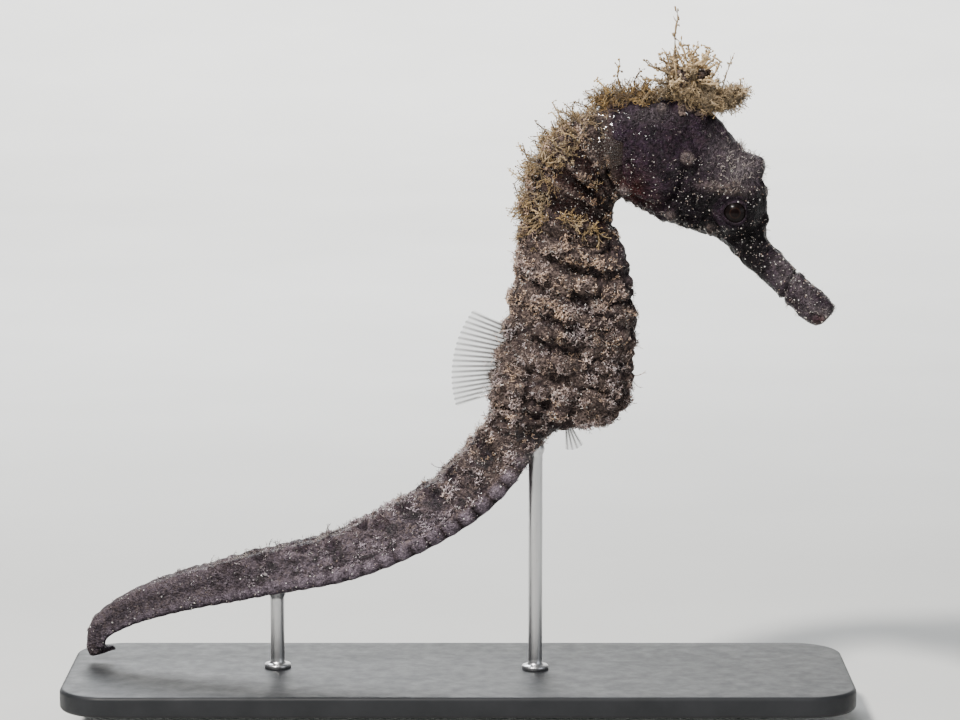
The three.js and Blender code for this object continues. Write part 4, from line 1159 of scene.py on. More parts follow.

# %% [markdown]
# ## Seeds of the coat
# Everything that grows on the animal is planted from a few small seed pieces, each made once: curls of turf,
# sprigs of branching weed, long fronds, hairs, wisps and grains of sand. A strand is a thin tube along a bent
# path, and a seed is a handful of strands and grains. A seed stores how far along its strand each point lies,
# so that tips can be paler than roots, whose darkening is painted shade.

# %% Strands and grains
class Bundle:
    """Collects small closed shapes, made of triangles, into one mesh."""

    def __init__(self):
        self.points, self.faces, self.patch, self.reach = [], [], [], []
        self.count = 0

    def add(self, points, faces, patch, reach):
        self.points.append(points)
        self.faces.append(np.asarray(faces) + self.count)
        self.patch.append(patch)
        self.reach.append(reach)
        self.count += len(points)

    def strand(self, path, start_radius, end_radius, sides=4, swell=0.0, reach=(0, 1)):
        """A tube along a path, closed by a point at each end."""
        path = np.asarray(path, float)
        rows = len(path)
        share = np.linspace(0, 1, rows)
        radii = mix(start_radius, end_radius, share) * (1 + swell * np.sin(share * 17 + path[0, 0] * 9))
        ahead = unit(np.gradient(path, axis=0))
        side = unit(np.cross(ahead, [0.31, 0.87, 0.38]))
        other = np.cross(ahead, side)
        angle = circle(sides)[None, :, None]
        around_it = np.cos(angle) * side[:, None] + np.sin(angle) * other[:, None]
        ring = path[:, None] + radii[:, None, None] * around_it
        ends = [path[0] - 0.5 * start_radius * ahead[0], path[-1] + end_radius * ahead[-1]]
        r, c = np.meshgrid(np.arange(rows - 1), np.arange(sides), indexing="ij")
        r, c, after = r.ravel(), c.ravel(), (c.ravel() + 1) % sides
        a, b, up_b, up_a = r * sides + c, r * sides + after, (r + 1) * sides + after, (r + 1) * sides + c
        c, last = np.arange(sides), (rows - 1) * sides
        following, start = (c + 1) % sides, np.full(sides, rows * sides)
        end = start + 1
        caps = [np.c_[following, c, start], np.c_[last + c, last + following, end]]
        faces = np.vstack([np.c_[a, b, up_b], np.c_[a, up_b, up_a], *caps])
        across_map = np.abs(2 * np.arange(sides) / sides - 1)
        flat_share = np.repeat(share, sides)
        patch = np.vstack([np.c_[np.tile(across_map, rows), flat_share], [[0.5, 0], [0.5, 1]]])
        rise = mix(reach[0], reach[1], np.r_[flat_share, 0, 1])
        self.add(np.vstack([ring.reshape(-1, 3), ends]), faces, patch, rise)

    def grain(self, centre, radius, random, reach=0.7):
        """A grain of sand or a bud: an uneven twenty-sided lump."""
        g = (1 + 5**0.5) / 2
        corners = np.array([[-1, g, 0], [1, g, 0], [-1, -g, 0], [1, -g, 0], [0, -1, g], [0, 1, g],
                            [0, -1, -g], [0, 1, -g], [g, 0, -1], [g, 0, 1], [-g, 0, -1], [-g, 0, 1]])
        faces = [[0, 11, 5], [0, 5, 1], [0, 1, 7], [0, 7, 10], [0, 10, 11], [1, 5, 9], [5, 11, 4],
                 [11, 10, 2], [10, 7, 6], [7, 1, 8], [3, 9, 4], [3, 4, 2], [3, 2, 6], [3, 6, 8],
                 [3, 8, 9], [4, 9, 5], [2, 4, 11], [6, 2, 10], [8, 6, 7], [9, 8, 1]]
        uneven = random.uniform(0.75, 1.25, (12, 1)) * random.uniform(0.8, 1.25, (1, 3))
        points = np.asarray(centre) + radius * unit(corners) * uneven
        patch = 0.5 + 0.35 * unit(corners)[:, :2]
        self.add(points, faces, patch, np.full(12, reach))

    def mesh(self, name):
        mesh = mesh_of(name, np.vstack(self.points), np.vstack(self.faces))
        patch = np.pad(np.vstack(self.patch), ((0, 0), (0, 1)))
        store_values(mesh, reach=np.concatenate(self.reach), patch=patch)
        return mesh


def wander(random, start, heading, steps, step, curl, lift=0.0, floor_height=-9.0):
    """A path that bends one way, with a little chance in each step."""
    heading = unit(np.array(heading, float))
    axis = unit(random.normal(size=3))
    path = [np.array(start, float)]
    for _ in range(steps):
        axis = unit(axis + 0.5 * random.normal(size=3))
        heading = unit(heading + curl * np.cross(axis, heading) + np.array([0, 0, lift]))
        if path[-1][2] + heading[2] * step < floor_height:
            heading[2] = abs(heading[2])
        path.append(path[-1] + step * heading)
    return path


print("strand of 6 points and 4 sides:", 5 * 4 * 2 + 8, "triangles")

# %% Seed pieces
def turf_seed(bundle, random):
    """Short curls of fine growth with two grains of sand caught in them. It leans towards +X."""
    for _ in range(4):
        heading = [random.uniform(0.1, 1.0), random.uniform(-0.9, 0.9), random.uniform(0.4, 1.0)]
        start = [random.uniform(-0.35, 0.35), random.uniform(-0.35, 0.35), -0.12]
        path = wander(random, start, heading, 4, random.uniform(0.20, 0.34), 0.8, 0.0, 0.08)
        bundle.strand(path, random.uniform(0.06, 0.11), 0.04, 3, 0.4)
    for _ in range(2):
        spot = [*random.uniform(-0.45, 0.55, 2), random.uniform(0.05, 0.4)]
        bundle.grain(spot, random.uniform(0.08, 0.17), random)


def weed_seed(bundle, random):
    """Longer threads that stand up, fork and end in buds."""
    for _ in range(3):
        heading = [random.uniform(-0.3, 0.6), random.uniform(-0.5, 0.5), 1]
        start = [*random.uniform(-0.3, 0.3, 2), -0.3]
        path = wander(random, start, heading, 6, random.uniform(0.28, 0.42), 0.35, 0.08)
        bundle.strand(path, random.uniform(0.065, 0.095), 0.035, 3, 0.3)
        for k in (1, 3, 4):
            aside = unit(path[k + 1] - path[k]) + 0.55 * random.normal(size=3)
            twig = wander(random, path[k], aside, 3, random.uniform(0.16, 0.26), 0.4, 0.05)
            bundle.strand(twig, 0.05, 0.03, 3, 0.2, (k / 6, 1))
        bundle.grain(path[-1], random.uniform(0.06, 0.10), random, 1.0)


FROND_HEIGHT = 5.0


def frond_seed(bundle, random):
    """One long wavy frond with twigs all along it."""
    stem = wander(random, [0, 0, -0.5], [random.uniform(-0.25, 0.25), 0, 1], 11, 0.5, 0.20, 0.09)
    stem = np.array(stem)
    stem *= FROND_HEIGHT / np.linalg.norm(stem[-1])
    bundle.strand(stem, 0.19, 0.11, 5, 0.45)
    bundle.grain(stem[-1], 0.24, random, 1.0)
    for k in [*range(2, 12), *range(5, 12, 2)]:
        aside = unit(random.normal(size=3) * [1, 1, 0.4]) + [0, 0, 0.75]
        twig = wander(random, stem[k], aside, 4, random.uniform(0.14, 0.28), 0.45, 0.06)
        bundle.strand(twig, 0.09, 0.05, 3, 0.3, (k / 12, 1))
        if k % 2:
            bundle.grain(twig[-1], random.uniform(0.11, 0.21), random, 1.0)


def hair_seed(bundle, random):
    """Two fine hairs, nearly straight."""
    for _ in range(2):
        heading = [random.uniform(0, 0.9), random.uniform(-0.5, 0.5), 1]
        start = [*random.uniform(-0.2, 0.2, 2), -0.1]
        path = wander(random, start, heading, 4, random.uniform(0.16, 0.26), 0.25)
        bundle.strand(path, 0.045, 0.02, 3)


def wisp_seed(bundle, random):
    """One thin thread with two side threads, longer than the turf around it."""
    heading = [random.uniform(0.2, 1.0), random.uniform(-0.6, 0.6), 0.9]
    path = wander(random, [0, 0, -0.15], heading, 6, random.uniform(0.26, 0.36), 0.38)
    bundle.strand(path, 0.06, 0.025, 3, 0.3)
    for k in (2, 4):
        aside = unit(path[k + 1] - path[k]) + 0.6 * random.normal(size=3)
        bundle.strand(wander(random, path[k], aside, 3, 0.2, 0.4), 0.04, 0.02, 3, 0.2, (k / 6, 1))


def grain_seed(bundle, random):
    """A single grain of sand, its lower half in the skin."""
    bundle.grain([0, 0, 0.04], 0.115, random)


def seed_collection(name, make, count, first):
    """A collection of seed pieces that the node trees pick from. It isn't part of the scene."""
    collection = bpy.data.collections.new(name)
    for index in range(count):
        bundle = Bundle()
        make(bundle, np.random.default_rng(first + index))
        collection.objects.link(bpy.data.objects.new(f"{name}_{index}", bundle.mesh(f"{name}_{index}")))
    average = sum(len(o.data.polygons) for o in collection.objects) / count
    print("seeds:", count, name, "of about", round(average), "triangles")
    return collection

# How many seeds of each kind, and the first number for chance.
TURF = seed_collection("turf", turf_seed, 10, 100)
WEED = seed_collection("weed", weed_seed, 8, 200)
FROND = seed_collection("frond", frond_seed, 7, 300)
HAIR = seed_collection("hair", hair_seed, 6, 400)
WISP = seed_collection("wisp", wisp_seed, 8, 600)
GRAIN = seed_collection("grain_of_sand", grain_seed, 4, 500)

# %% [markdown]
# ## Planting
# Two node trees plant the seeds. The first strews them over a surface: a mask sets how densely, the lie of
# the coat turns them, and chance sets their size and twist. The second puts them at chosen points, with a
# given aim and size, for the fronds, which have their own place.
#
# Both end in the same steps: the instances become real mesh, each tuft gets its small patch on the skin's
# unwrap, and the material is set.

# %% The end that both trees share
PATCH_SIZE = 0.003


def named(tree, name, data_type="FLOAT"):
    node = put(tree, "GeometryNodeInputNamedAttribute", {"Name": name}, data_type=data_type)
    return socket(node.outputs, "Attribute")


def store(tree, geometry, name, value, data_type="FLOAT", domain="POINT"):
    inputs = {"Geometry": geometry, "Name": name, "Value": value}
    return put(tree, "GeometryNodeStoreNamedAttribute", inputs, data_type=data_type, domain=domain).outputs[0]


def random_value(tree, low, high, seed):
    inputs = {"Min": low, "Max": high, "Seed": seed}
    return socket(put(tree, "FunctionNodeRandomValue", inputs, data_type="FLOAT").outputs, "Value")


def vector_math(tree, operation, a, b):
    return put(tree, "ShaderNodeVectorMath", {0: a, 1: b}, operation=operation).outputs[0]


def twisted(tree, rotation, twist):
    """A rotation with a twist about its own upright axis."""
    by = put(tree, "FunctionNodeAxisAngleToRotation", {"Axis": (0, 0, 1), "Angle": twist}).outputs[0]
    inputs = {"Rotation": rotation, "Rotate By": by}
    return put(tree, "FunctionNodeRotateRotation", inputs, rotation_space="LOCAL").outputs[0]


def plant_seeds(tree, have, give, points, rotation, scale, tone_seed):
    """Puts seeds on points as real mesh, and gives each a tone, a patch on the map and a material."""
    toned = store(tree, points, "tone", random_value(tree, 0.0, 1.0, tone_seed))
    inputs = {"Collection": have["Seeds"], "Separate Children": True, "Reset Children": True}
    seeds = put(tree, "GeometryNodeCollectionInfo", inputs).outputs[0]
    inputs = {"Points": toned, "Instance": seeds, "Pick Instance": True, "Rotation": rotation, "Scale": scale}
    planted = put(tree, "GeometryNodeInstanceOnPoints", inputs).outputs[0]
    real = put(tree, "GeometryNodeRealizeInstances", {"Geometry": planted}).outputs[0]
    centred = vector_math(tree, "SUBTRACT", named(tree, "patch", "FLOAT_VECTOR"), (0.5, 0.5, 0.0))
    small = vector_math(tree, "MULTIPLY", centred, (PATCH_SIZE, PATCH_SIZE, 0.0))
    placed = vector_math(tree, "ADD", named(tree, "skin_place", "FLOAT_VECTOR"), small)
    mapped = store(tree, real, "OFBake", placed, "FLOAT2", "CORNER")
    coloured = put(tree, "GeometryNodeSetMaterial", {"Geometry": mapped, "Material": have["Material"]})
    tree.links.new(coloured.outputs[0], give["Pieces"])

# %% The tree that strews seeds over a surface
takes = {"Surface": "Geometry", "Seeds": "Collection", "Material": "Material", "Mask": "String",
         "Per square millimetre": 1.0, "From": -20.0, "To": 40.0, "Smallest": 0.7, "Largest": 1.3,
         "Twist": 0.8, "Seed": 1}
strew, have, give = group("strew", "GeometryNodeTree", takes, {"Pieces": "Geometry"})
strew.is_modifier = True
PER_SQUARE_METRE = 1e6
mask = named(strew, have["Mask"])
within = {}
for index, (way, end) in enumerate((("GREATER_EQUAL", have["From"]), ("LESS_THAN", have["To"]))):
    inputs = {"A": named(strew, "place"), "B": end}
    within[index] = put(strew, "FunctionNodeCompare", inputs, operation=way).outputs[0]
chosen = put(strew, "FunctionNodeBooleanMath", within, operation="AND").outputs[0]
density = times(strew, times(strew, mask, have["Per square millimetre"]), PER_SQUARE_METRE)
inputs = {"Mesh": have["Surface"], "Selection": chosen, "Density": density, "Seed": have["Seed"]}
spread = put(strew, "GeometryNodeDistributePointsOnFaces", inputs, distribute_method="RANDOM")
size = random_value(strew, have["Smallest"], have["Largest"], have["Seed"])
size = times(strew, size, plus(strew, times(strew, mask, 0.5), 0.5))
inputs = {"Rotation": spread.outputs["Rotation"], "Vector": named(strew, "lie", "FLOAT_VECTOR")}
along_lie = put(strew, "FunctionNodeAlignRotationToVector", inputs, axis="X", pivot_axis="Z").outputs[0]
twist = random_value(strew, times(strew, have["Twist"], -1.0), have["Twist"], 7)
plant_seeds(strew, have, give, spread.outputs["Points"], twisted(strew, along_lie, twist), size, 11)
print("strew: a tree of", len(strew.nodes), "nodes")

# %% The tree that plants seeds at chosen points
takes = {"Points": "Geometry", "Seeds": "Collection", "Seed": 1, "Material": "Material"}
plant, have, give = group("plant", "GeometryNodeTree", takes, {"Pieces": "Geometry"})
plant.is_modifier = True
aim_here = {"Vector": named(plant, "aim", "FLOAT_VECTOR")}
upright = put(plant, "FunctionNodeAlignRotationToVector", aim_here, axis="Z").outputs[0]
facing = twisted(plant, upright, named(plant, "twist"))
as_points = put(plant, "GeometryNodeMeshToPoints", {"Mesh": have["Points"]}).outputs[0]
plant_seeds(plant, have, give, as_points, facing, named(plant, "stretch", "FLOAT_VECTOR"), have["Seed"])
print("plant: a tree of", len(plant.nodes), "nodes")

# %% Running a tree
# Values that the planting reads and no material needs.
USED_UP = ("patch", "skin_place", "lie", "aim", "stretch", "twist", "down", "grit", "weedy", "turf", "tassel",
           "wispy", "place", "wet")


def grow(name, tree, base_mesh, inputs, slot, stands_for=()):
    """Runs a tree on a mesh and keeps the result as a plain mesh object that rides with the animal."""
    carrier = piece("carrier_of_" + name, base_mesh)
    modifier = carrier.modifiers.new("planting", "NODES")
    modifier.node_group = tree
    for item in tree.interface.items_tree:
        if item.in_out == "INPUT" and item.name in inputs:
            modifier[item.identifier] = inputs[item.name]
    ready = bpy.context.evaluated_depsgraph_get()
    ready.update()
    evaluated = carrier.evaluated_get(ready)
    mesh = bpy.data.meshes.new_from_object(evaluated, preserve_all_data_layers=True, depsgraph=ready)
    carrier.modifiers.remove(modifier)
    bpy.data.objects.remove(carrier)
    mesh.name = name
    for old in [a.name for a in mesh.attributes if a.name in USED_UP]:
        mesh.attributes.remove(mesh.attributes[old])
    mesh.polygons.foreach_set("use_smooth", np.ones(len(mesh.polygons), bool))
    dress(piece(name, mesh), slot, *stands_for)
    print(name + ":", len(mesh.polygons), "triangles,", [u.name for u in mesh.uv_layers])


def grow_over(name, base_mesh, seeds, mask, density, sizes, twist, seed, material, slot, ends=(-20.0, 40.0)):
    """Strews seeds over a mesh, thickest where the mask is 1, between two stations of the body."""
    inputs = {"Seeds": seeds, "Mask": mask, "Per square millimetre": density, "From": ends[0], "To": ends[1],
              "Smallest": sizes[0], "Largest": sizes[1], "Twist": twist, "Seed": seed, "Material": material}
    grow(name, strew, base_mesh, inputs, slot)

# %% [markdown]
# ## Finishes of the coat
# Turf reads the same markings as the skin under it, only paler, since its tips stand in the light. Weed has
# its own straw and gold. Each tuft has a tone of its own, and every strand is darker at its root, as painted
# shade. A few bright specks on the turf's tips are painted glints.

# %% Materials of the coat
def coat_material(name, build_colour, roughness, sheen=0.0):
    material, tree, shader = new_material(name)
    place = object_place(tree)
    tone, reach = mask_of(tree, "tone"), mask_of(tree, "reach")
    # Painted shade at the roots: a strand darkens from its tip to its root by the stored reach, and each
    # tuft's tone makes it lighter or darker.
    light = times(tree, span(tree, reach, 0.0, 0.9, 0.22, 1.25), span(tree, tone, 0, 1, 0.45, 1.7))
    patches = span(tree, noise(tree, place, 1500, 2), 0.3, 0.7, roughness - 0.2, roughness + 0.1)
    finish = {
        "Base Color": build_colour(tree, place, tone, light),
        "Roughness": patches,
        "Normal": bump_of(tree, noise(tree, place, 5200, 3), 0.6, 0.00008),
        "Specular IOR Level": 0.25,
        "Sheen Weight": sheen,
    }
    join(tree, shader, finish)
    return material


def turf_colour(tree, place, tone, light):
    masks_in = {name: mask_of(tree, name) for name in MASK_NAMES}
    height = put(tree, "ShaderNodeSeparateXYZ", {"Vector": place}).outputs["Z"]
    upper_trunk = span(tree, height, 0.044, 0.064)
    light = times(tree, light, span(tree, upper_trunk, 0, 1, 1, 1.15))
    lightness = times(tree, light, 1.7)
    marked = use(tree, markings, {**masks_in, "place": place, "lightness": lightness})["colour"]
    less_warm = times(tree, masks_in["lilac"], 0.3)
    warmth = math_node(tree, "SUBTRACT", noise(tree, place, 330, 3), less_warm)
    warmth = plus(tree, warmth, times(tree, upper_trunk, 0.15))
    golden = blend(tree, span(tree, warmth, 0.44, 0.6), (0.395, 0.334, 0.346), (0.450, 0.305, 0.200))
    golden = blend(tree, times(tree, masks_in["lilac"], 0.8), golden, (0.295, 0.248, 0.286))
    rusty = times(tree, masks_in["rust"], 2.2, clamp=True)
    golden = blend(tree, rusty, golden, (0.380, 0.240, 0.125))
    # The deep mask darkens the turf's own straw too, as painted shade.
    straw = scaled(tree, golden, times(tree, light, span(tree, masks_in["deep"], 0, 1, 1, 0.3)))
    blended = blend(tree, span(tree, tone, 0.3, 0.9, 0.1, 0.75), marked, straw)
    # Painted glints: a few specks near the tips of the turf turn nearly white.
    painted_glints = times(tree, span(tree, noise(tree, place, 2600, 1), 0.63, 0.67), span(tree, light, 0.5, 0.9))
    return blend(tree, painted_glints, blended, (0.72, 0.69, 0.66))


def weed_colour(tree, place, tone, light):
    warm = blend(tree, span(tree, tone, 0.1, 0.9), (0.115, 0.057, 0.012), (0.225, 0.145, 0.052))
    patches = span(tree, noise(tree, place, 300, 3), 0.46, 0.62)
    mottled = blend(tree, patches, warm, (0.195, 0.140, 0.080))
    mottled = blend(tree, mask_of(tree, "pale"), mottled, (0.310, 0.228, 0.135))
    return scaled(tree, mottled, light)


# Pale grains of sand, whose pale specks also stand in as painted glints.
def grit_colour(tree, place, tone, light):
    pale = blend(tree, span(tree, tone, 0.2, 0.9), (0.16, 0.13, 0.12), (0.72, 0.70, 0.66))
    return blend(tree, span(tree, noise(tree, place, 900, 2), 0.4, 0.6, 0.0, 0.4), pale, (0.40, 0.27, 0.20))


def down_colour(tree, place, tone, light):
    pale = blend(tree, tone, (0.20, 0.165, 0.15), (0.52, 0.48, 0.44))
    return blend(tree, span(tree, noise(tree, place, 500, 2), 0.4, 0.6), pale, (0.26, 0.22, 0.21))


turf_material = coat_material("turf", turf_colour, 0.70, 0.1)
weed_material = coat_material("weed", weed_colour, 0.60, 0.15)
grit_material = coat_material("grit", grit_colour, 0.30)
down_material = coat_material("down", down_colour, 0.65)
print("coat: four materials")

# %% [markdown]
# ## The coat is planted
# No piece may grow too large, so the turf is planted in lengths: each takes the stretch of body between two
# stations. Tassels, wisps, grit and down are one piece each. Tassels are sprigs of weed in the turf's colour.

# %% Turf, tassels, wisps, grit and down
# The first and last station of each length, and how densely it grows.
TURF_LENGTHS = {"neck": (-1.0, 2.9, 6.1), "chest": (2.9, 4.3, 4.7), "belly": (4.3, 5.6, 4.5),
                "hips": (5.6, 8.2, 4.6), "tail_upper": (8.2, 14.0, 4.8), "tail_lower": (14.0, 31.1, 4.2)}
for index, (name, (start, end, density)) in enumerate(TURF_LENGTHS.items()):
    sizes, slot = ((0.6, 1.25), "tail") if name.startswith("tail") else ((0.65, 1.3), "sand")
    grow_over("turf_" + name, skin_mesh, TURF, "turf", density, sizes, 1.1, 20 + index, turf_material, slot,
              (start, end))
grow_over("tassels", skin_mesh, WEED, "tassel", 0.9, (0.5, 1.0), 0.7, 39, turf_material, "sand", (0.0, 18.0))
grow_over("wisps", skin_mesh, WISP, "wispy", 0.42, (0.6, 1.35), 1.2, 38, turf_material, "sand")
grow_over("grit", skin_mesh, GRAIN, "grit", 1.7, (0.3, 1.1), 3.1, 40, grit_material, "sand")
grow_over("down", skin_mesh, HAIR, "down", 3.4, (0.6, 1.5), 0.9, 41, down_material, "sand")

# %% [markdown]
# ## Crown and weed
# On top of the head stands the bony crown, with five blunt points. Weed has rooted round it and hangs out
# over the brow like the peak of a cap. More weed runs down the nape. Each clump has a lumpy mat at its root,
# then sprigs that cover the mat, then long branching fronds with their own place and lean.

# %% Places on the unwrap for what is planted above the skin
THINNED = np.s_[::3, ::3]
grid_place = np.concatenate([corner_map[:, :, 3], corner_map[-1:, :, 0]])[THINNED].reshape(-1, 2)
grid_points = skin[THINNED].reshape(-1, 3)
nearest = KDTree(len(grid_points))
for index, point in enumerate(grid_points):
    nearest.insert(point, index)
nearest.balance()


def root_places(points):
    """Where on the unwrap the nearest bit of skin lies, for each point."""
    found = [nearest.find(point)[1] for point in np.asarray(points)]
    return np.c_[grid_place[found], np.zeros(len(found))]


print("places to root in:", len(grid_points))

# %% The bony crown
CROWN = {"x": 32.8, "z": 84.4, "height": 4.6, "radius": 2.1, "points": 5}
CROWN_COLUMNS = 120
# Shares of the crown's radius and height, from the foot up over the rim and into the hollow.
crown_profile = np.array([(1.35, -0.34), (1.15, -0.1), (0.92, 0.15), (0.84, 0.4), (0.92, 0.62), (1.04, 0.8),
                          (0.98, 0.9), (0.8, 0.88), (0.5, 0.78), (0.2, 0.72), (0.03, 0.7)])
crown_profile = spline(crown_profile, np.linspace(0, len(crown_profile) - 1, 56))
crown_grid = around(crown_profile * [CROWN["radius"], CROWN["height"]], CROWN_COLUMNS, 0.12, 51)
flutes = 1 + 0.07 * np.cos(CROWN["points"] * circle(CROWN_COLUMNS) + np.pi)
crown_grid[..., :2] *= flutes[None, :, None]
for index in range(CROWN["points"]):
    turn_to = (index + 0.5) / CROWN["points"] * 2 * np.pi
    spoke = np.array([math.cos(turn_to), math.sin(turn_to), 0])
    foot = spoke * CROWN["radius"] * 0.75 + [0, 0, CROWN["height"] * 0.72]
    crown_grid = draw_out(crown_grid, foot, spoke + [0, 0, 1.0], 1.9, 0.75)
points, faces = closed_tube(turned(crown_grid + [CROWN["x"], 0, CROWN["z"]]))
crown_mesh = mesh_of("crown_bone", points, outward(points, faces))
weedy = ramp(points[:, 2] - CROWN["z"], 1.5, 3.0)
everywhere = np.ones(len(points))
store_values(crown_mesh, sand=0.85 * everywhere, weedy=weedy, place=0 * everywhere)
store_values(crown_mesh, skin_place=root_places(points))
crown_mesh.materials.append(hide)
dress(piece("crown_bone", crown_mesh), "hide")
print("crown:", CROWN["points"], "points,", 2 * len(faces), "triangles")

# %% The mats that the weed grows from
LOBE_ROWS, LOBE_COLUMNS = 48, 72
LOBE_PATCH = 0.02


def lobe_grid(centre, radii, seed):
    """A lumpy ball."""
    steps = np.linspace(0.04, np.pi - 0.04, LOBE_ROWS)
    ball = around(np.c_[np.sin(steps), np.cos(steps)], LOBE_COLUMNS)
    direction = ball.reshape(-1, 3)
    rough = 1 + 0.11 * lumps(direction * 3, 1.5, seed) + 0.09 * lumps(direction * 3, 0.5, seed + 1)
    rough += 0.06 * lumps(direction * 3, 0.25, seed + 2)
    return np.asarray(centre) + (direction * rough[:, None] * radii).reshape(ball.shape)


def lobe_map(centre):
    """Where a lobe's points lie on the map: a small patch at the lobe's root, folded round the lobe."""
    row, column = np.meshgrid(np.arange(LOBE_ROWS), np.arange(LOBE_COLUMNS), indexing="ij")
    folded = np.abs(2 * column / LOBE_COLUMNS - 1)
    patch = np.stack([folded, row / LOBE_ROWS], -1).reshape(-1, 2)
    patch = np.vstack([patch, [[0.5, 0], [0.5, 1]]]) - 0.5
    return root_places(turned(np.array([centre], float)))[0, :2] + LOBE_PATCH * patch


def weed_paleness(ahead):
    """The weed is straw on the crown and palest on its peak, golden brown where it starts down the nape."""
    return 0.6 * ramp(ahead, 26.5, 29.5) + 0.3 * ramp(ahead, 35.5, 38.0) + 0.5 * ramp(-ahead, -20.5, -17.0)


def mat_of(name, lobes, density):
    """Joins lumpy balls into one mesh that shows, and that sprigs can be strewn on."""
    all_points, all_faces, all_places, count = [], [], [], 0
    for index, (centre, radii) in enumerate(lobes):
        points, faces = closed_tube(turned(lobe_grid(centre, radii, 60 + index)))
        all_points.append(points)
        all_faces.append(outward(points, faces) + count)
        all_places.append(lobe_map(centre))
        count += len(points)
    points, places = np.vstack(all_points), np.vstack(all_places)
    mesh = mesh_of(name, points, np.vstack(all_faces))
    # The mats' low reach and tone keep them dark: painted shade beneath the sprigs.
    store_values(
        mesh,
        weedy=np.full(count, density),
        place=np.zeros(count),
        tone=0.25 + 0.2 * lumps(points, 1.5, 66),
        reach=0.26 + 0.18 * lumps(points, 0.5, 67),
        pale=weed_paleness(points[:, 0]),
        lie=unit(points - points.mean(0)) + [0, 0, 0.5],
        skin_place=root_places(points),
    )
    corners = np.empty(len(mesh.loops), np.int32)
    mesh.loops.foreach_get("vertex_index", corners)
    mesh.uv_layers.new(name="OFBake")
    mesh.uv_layers["OFBake"].data.foreach_set("uv", places[corners].astype(np.float32).ravel())
    return mesh


CROWN_LOBES = [
    [[30.6, 0, 85.9], [1.7, 2.0, 1.2]], [[33.0, 0, 85.9], [2.2, 3.0, 1.5]],
    [[35.4, 0, 85.2], [2.2, 2.7, 1.8]], [[37.8, 0, 85.0], [1.9, 2.0, 1.2]],
    [[39.5, 0, 85.9], [1.1, 1.2, 0.8]],
]
NAPE_LOBES = [[[22.0, 0, 84.6], [2.8, 2.2, 1.3]], [[25.6, 0, 85.2], [1.9, 1.8, 1.0]]]
crown_mat_mesh = mat_of("crown_mat", CROWN_LOBES, 0.9)
nape_mat_mesh = mat_of("nape_mat", NAPE_LOBES, 0.9)
for mesh in (crown_mat_mesh, nape_mat_mesh):
    mesh.materials.append(weed_material)
    dress(piece(mesh.name, mesh), "weed")
    print(mesh.name + ":", 2 * len(mesh.polygons), "triangles")

# %% Sprigs on the mats and down the nape
# Name, mesh, seeds, how many per square millimetre, size of the largest, twist, and a number for chance.
SPRIGS = [
    ("crown_sprigs", crown_mat_mesh, WEED, 1.3, 1.0, 1.5, 51),
    ("crown_curls", crown_mat_mesh, TURF, 2.0, 1.0, 3.1, 55),
    ("crown_tips", crown_mesh, WEED, 0.8, 0.65, 1.5, 54),
    ("nape_sprigs", nape_mat_mesh, WEED, 1.9, 1.2, 1.5, 52),
    ("mane_sprigs", skin_mesh, WEED, 1.88, 1.4, 1.5, 53),
]
for name, base_mesh, seeds, density, largest, twist, seed in SPRIGS:
    grow_over(name, base_mesh, seeds, "weedy", density, (0.45, largest), twist, seed, weed_material, "weed")

# %% [markdown]
# ## Fronds
# A frond has a foot, a direction, a length and a thickness. The crown's fronds fan out by the golden angle,
# as leaves do, so no two lie behind each other. Five more stand free of the fan, and nine make the peak. The
# mane's fronds follow the nape down over the first rings.

# %% Fronds with their own place
GOLDEN_ANGLE = math.pi * (3 - math.sqrt(5))
FAN_COUNT, PEAK_COUNT, MANE_COUNT = 44, 9, 46
# The height of a frond seed with its last bud, and the width of the fronds down the neck.
FROND_REACH, MANE_WIDTH = 5.2, 0.62
# Foot, direction, length and thickness.
FREE_FRONDS = [
    ([31.6, 0, 87.6], [-0.24, -0.02, 1], 9.7, 0.75),
    ([30.9, -0.4, 87.0], [-0.36, -0.1, 1], 6.4, 0.75),
    ([37.4, -0.6, 86.2], [0.12, -0.1, 1], 5.6, 0.55),
    ([30.6, -1.0, 86.4], [-0.9, -0.2, 0.62], 5.6, 0.8),
    ([34.2, -1.2, 86.9], [0.25, -0.35, 1], 5.4, 0.85),
]
NAPE_FRONDS = [
    ([23.2, 0.4, 85.4], [-0.5, 0.1, 1], 5.2, 0.85),
    ([22.4, -1.0, 85.0], [-0.9, -0.2, 1], 4.0, 0.8),
    ([25.0, 0.6, 85.8], [-0.1, 0.2, 1], 3.0, 0.8),
    ([26.4, 0.6, 85.8], [0.1, 0.3, 1], 2.4, 0.8),
]


def crown_fronds():
    """The fan of fronds on the crown, the free ones, and the row along the peak."""
    fronds = []
    for i in range(FAN_COUNT):
        share = (i + 0.5) / FAN_COUNT
        angle, lean = i * GOLDEN_ANGLE, 0.12 + 0.8 * share
        dx, dy = math.cos(angle) * lean, math.sin(angle) * lean * 0.8
        length = 3.0 + 2.6 * (1 - share) + (i % 3) * 0.6
        fronds.append(([32.2 + 2.4 * dx, 2.6 * dy, 86.6], [dx, dy, 1], length, 0.9 + 0.3 * (i % 2)))
    fronds += FREE_FRONDS
    for k in range(PEAK_COUNT):
        aside = 2 * k / (PEAK_COUNT - 1) - 1
        direction = [1, 0.5 * aside, 0.35 + 0.2 * (k % 2)]
        fronds.append(([38.6, 1.1 * aside, 85.9], direction, 1.9 + 0.5 * (k % 3), 0.8))
    return fronds


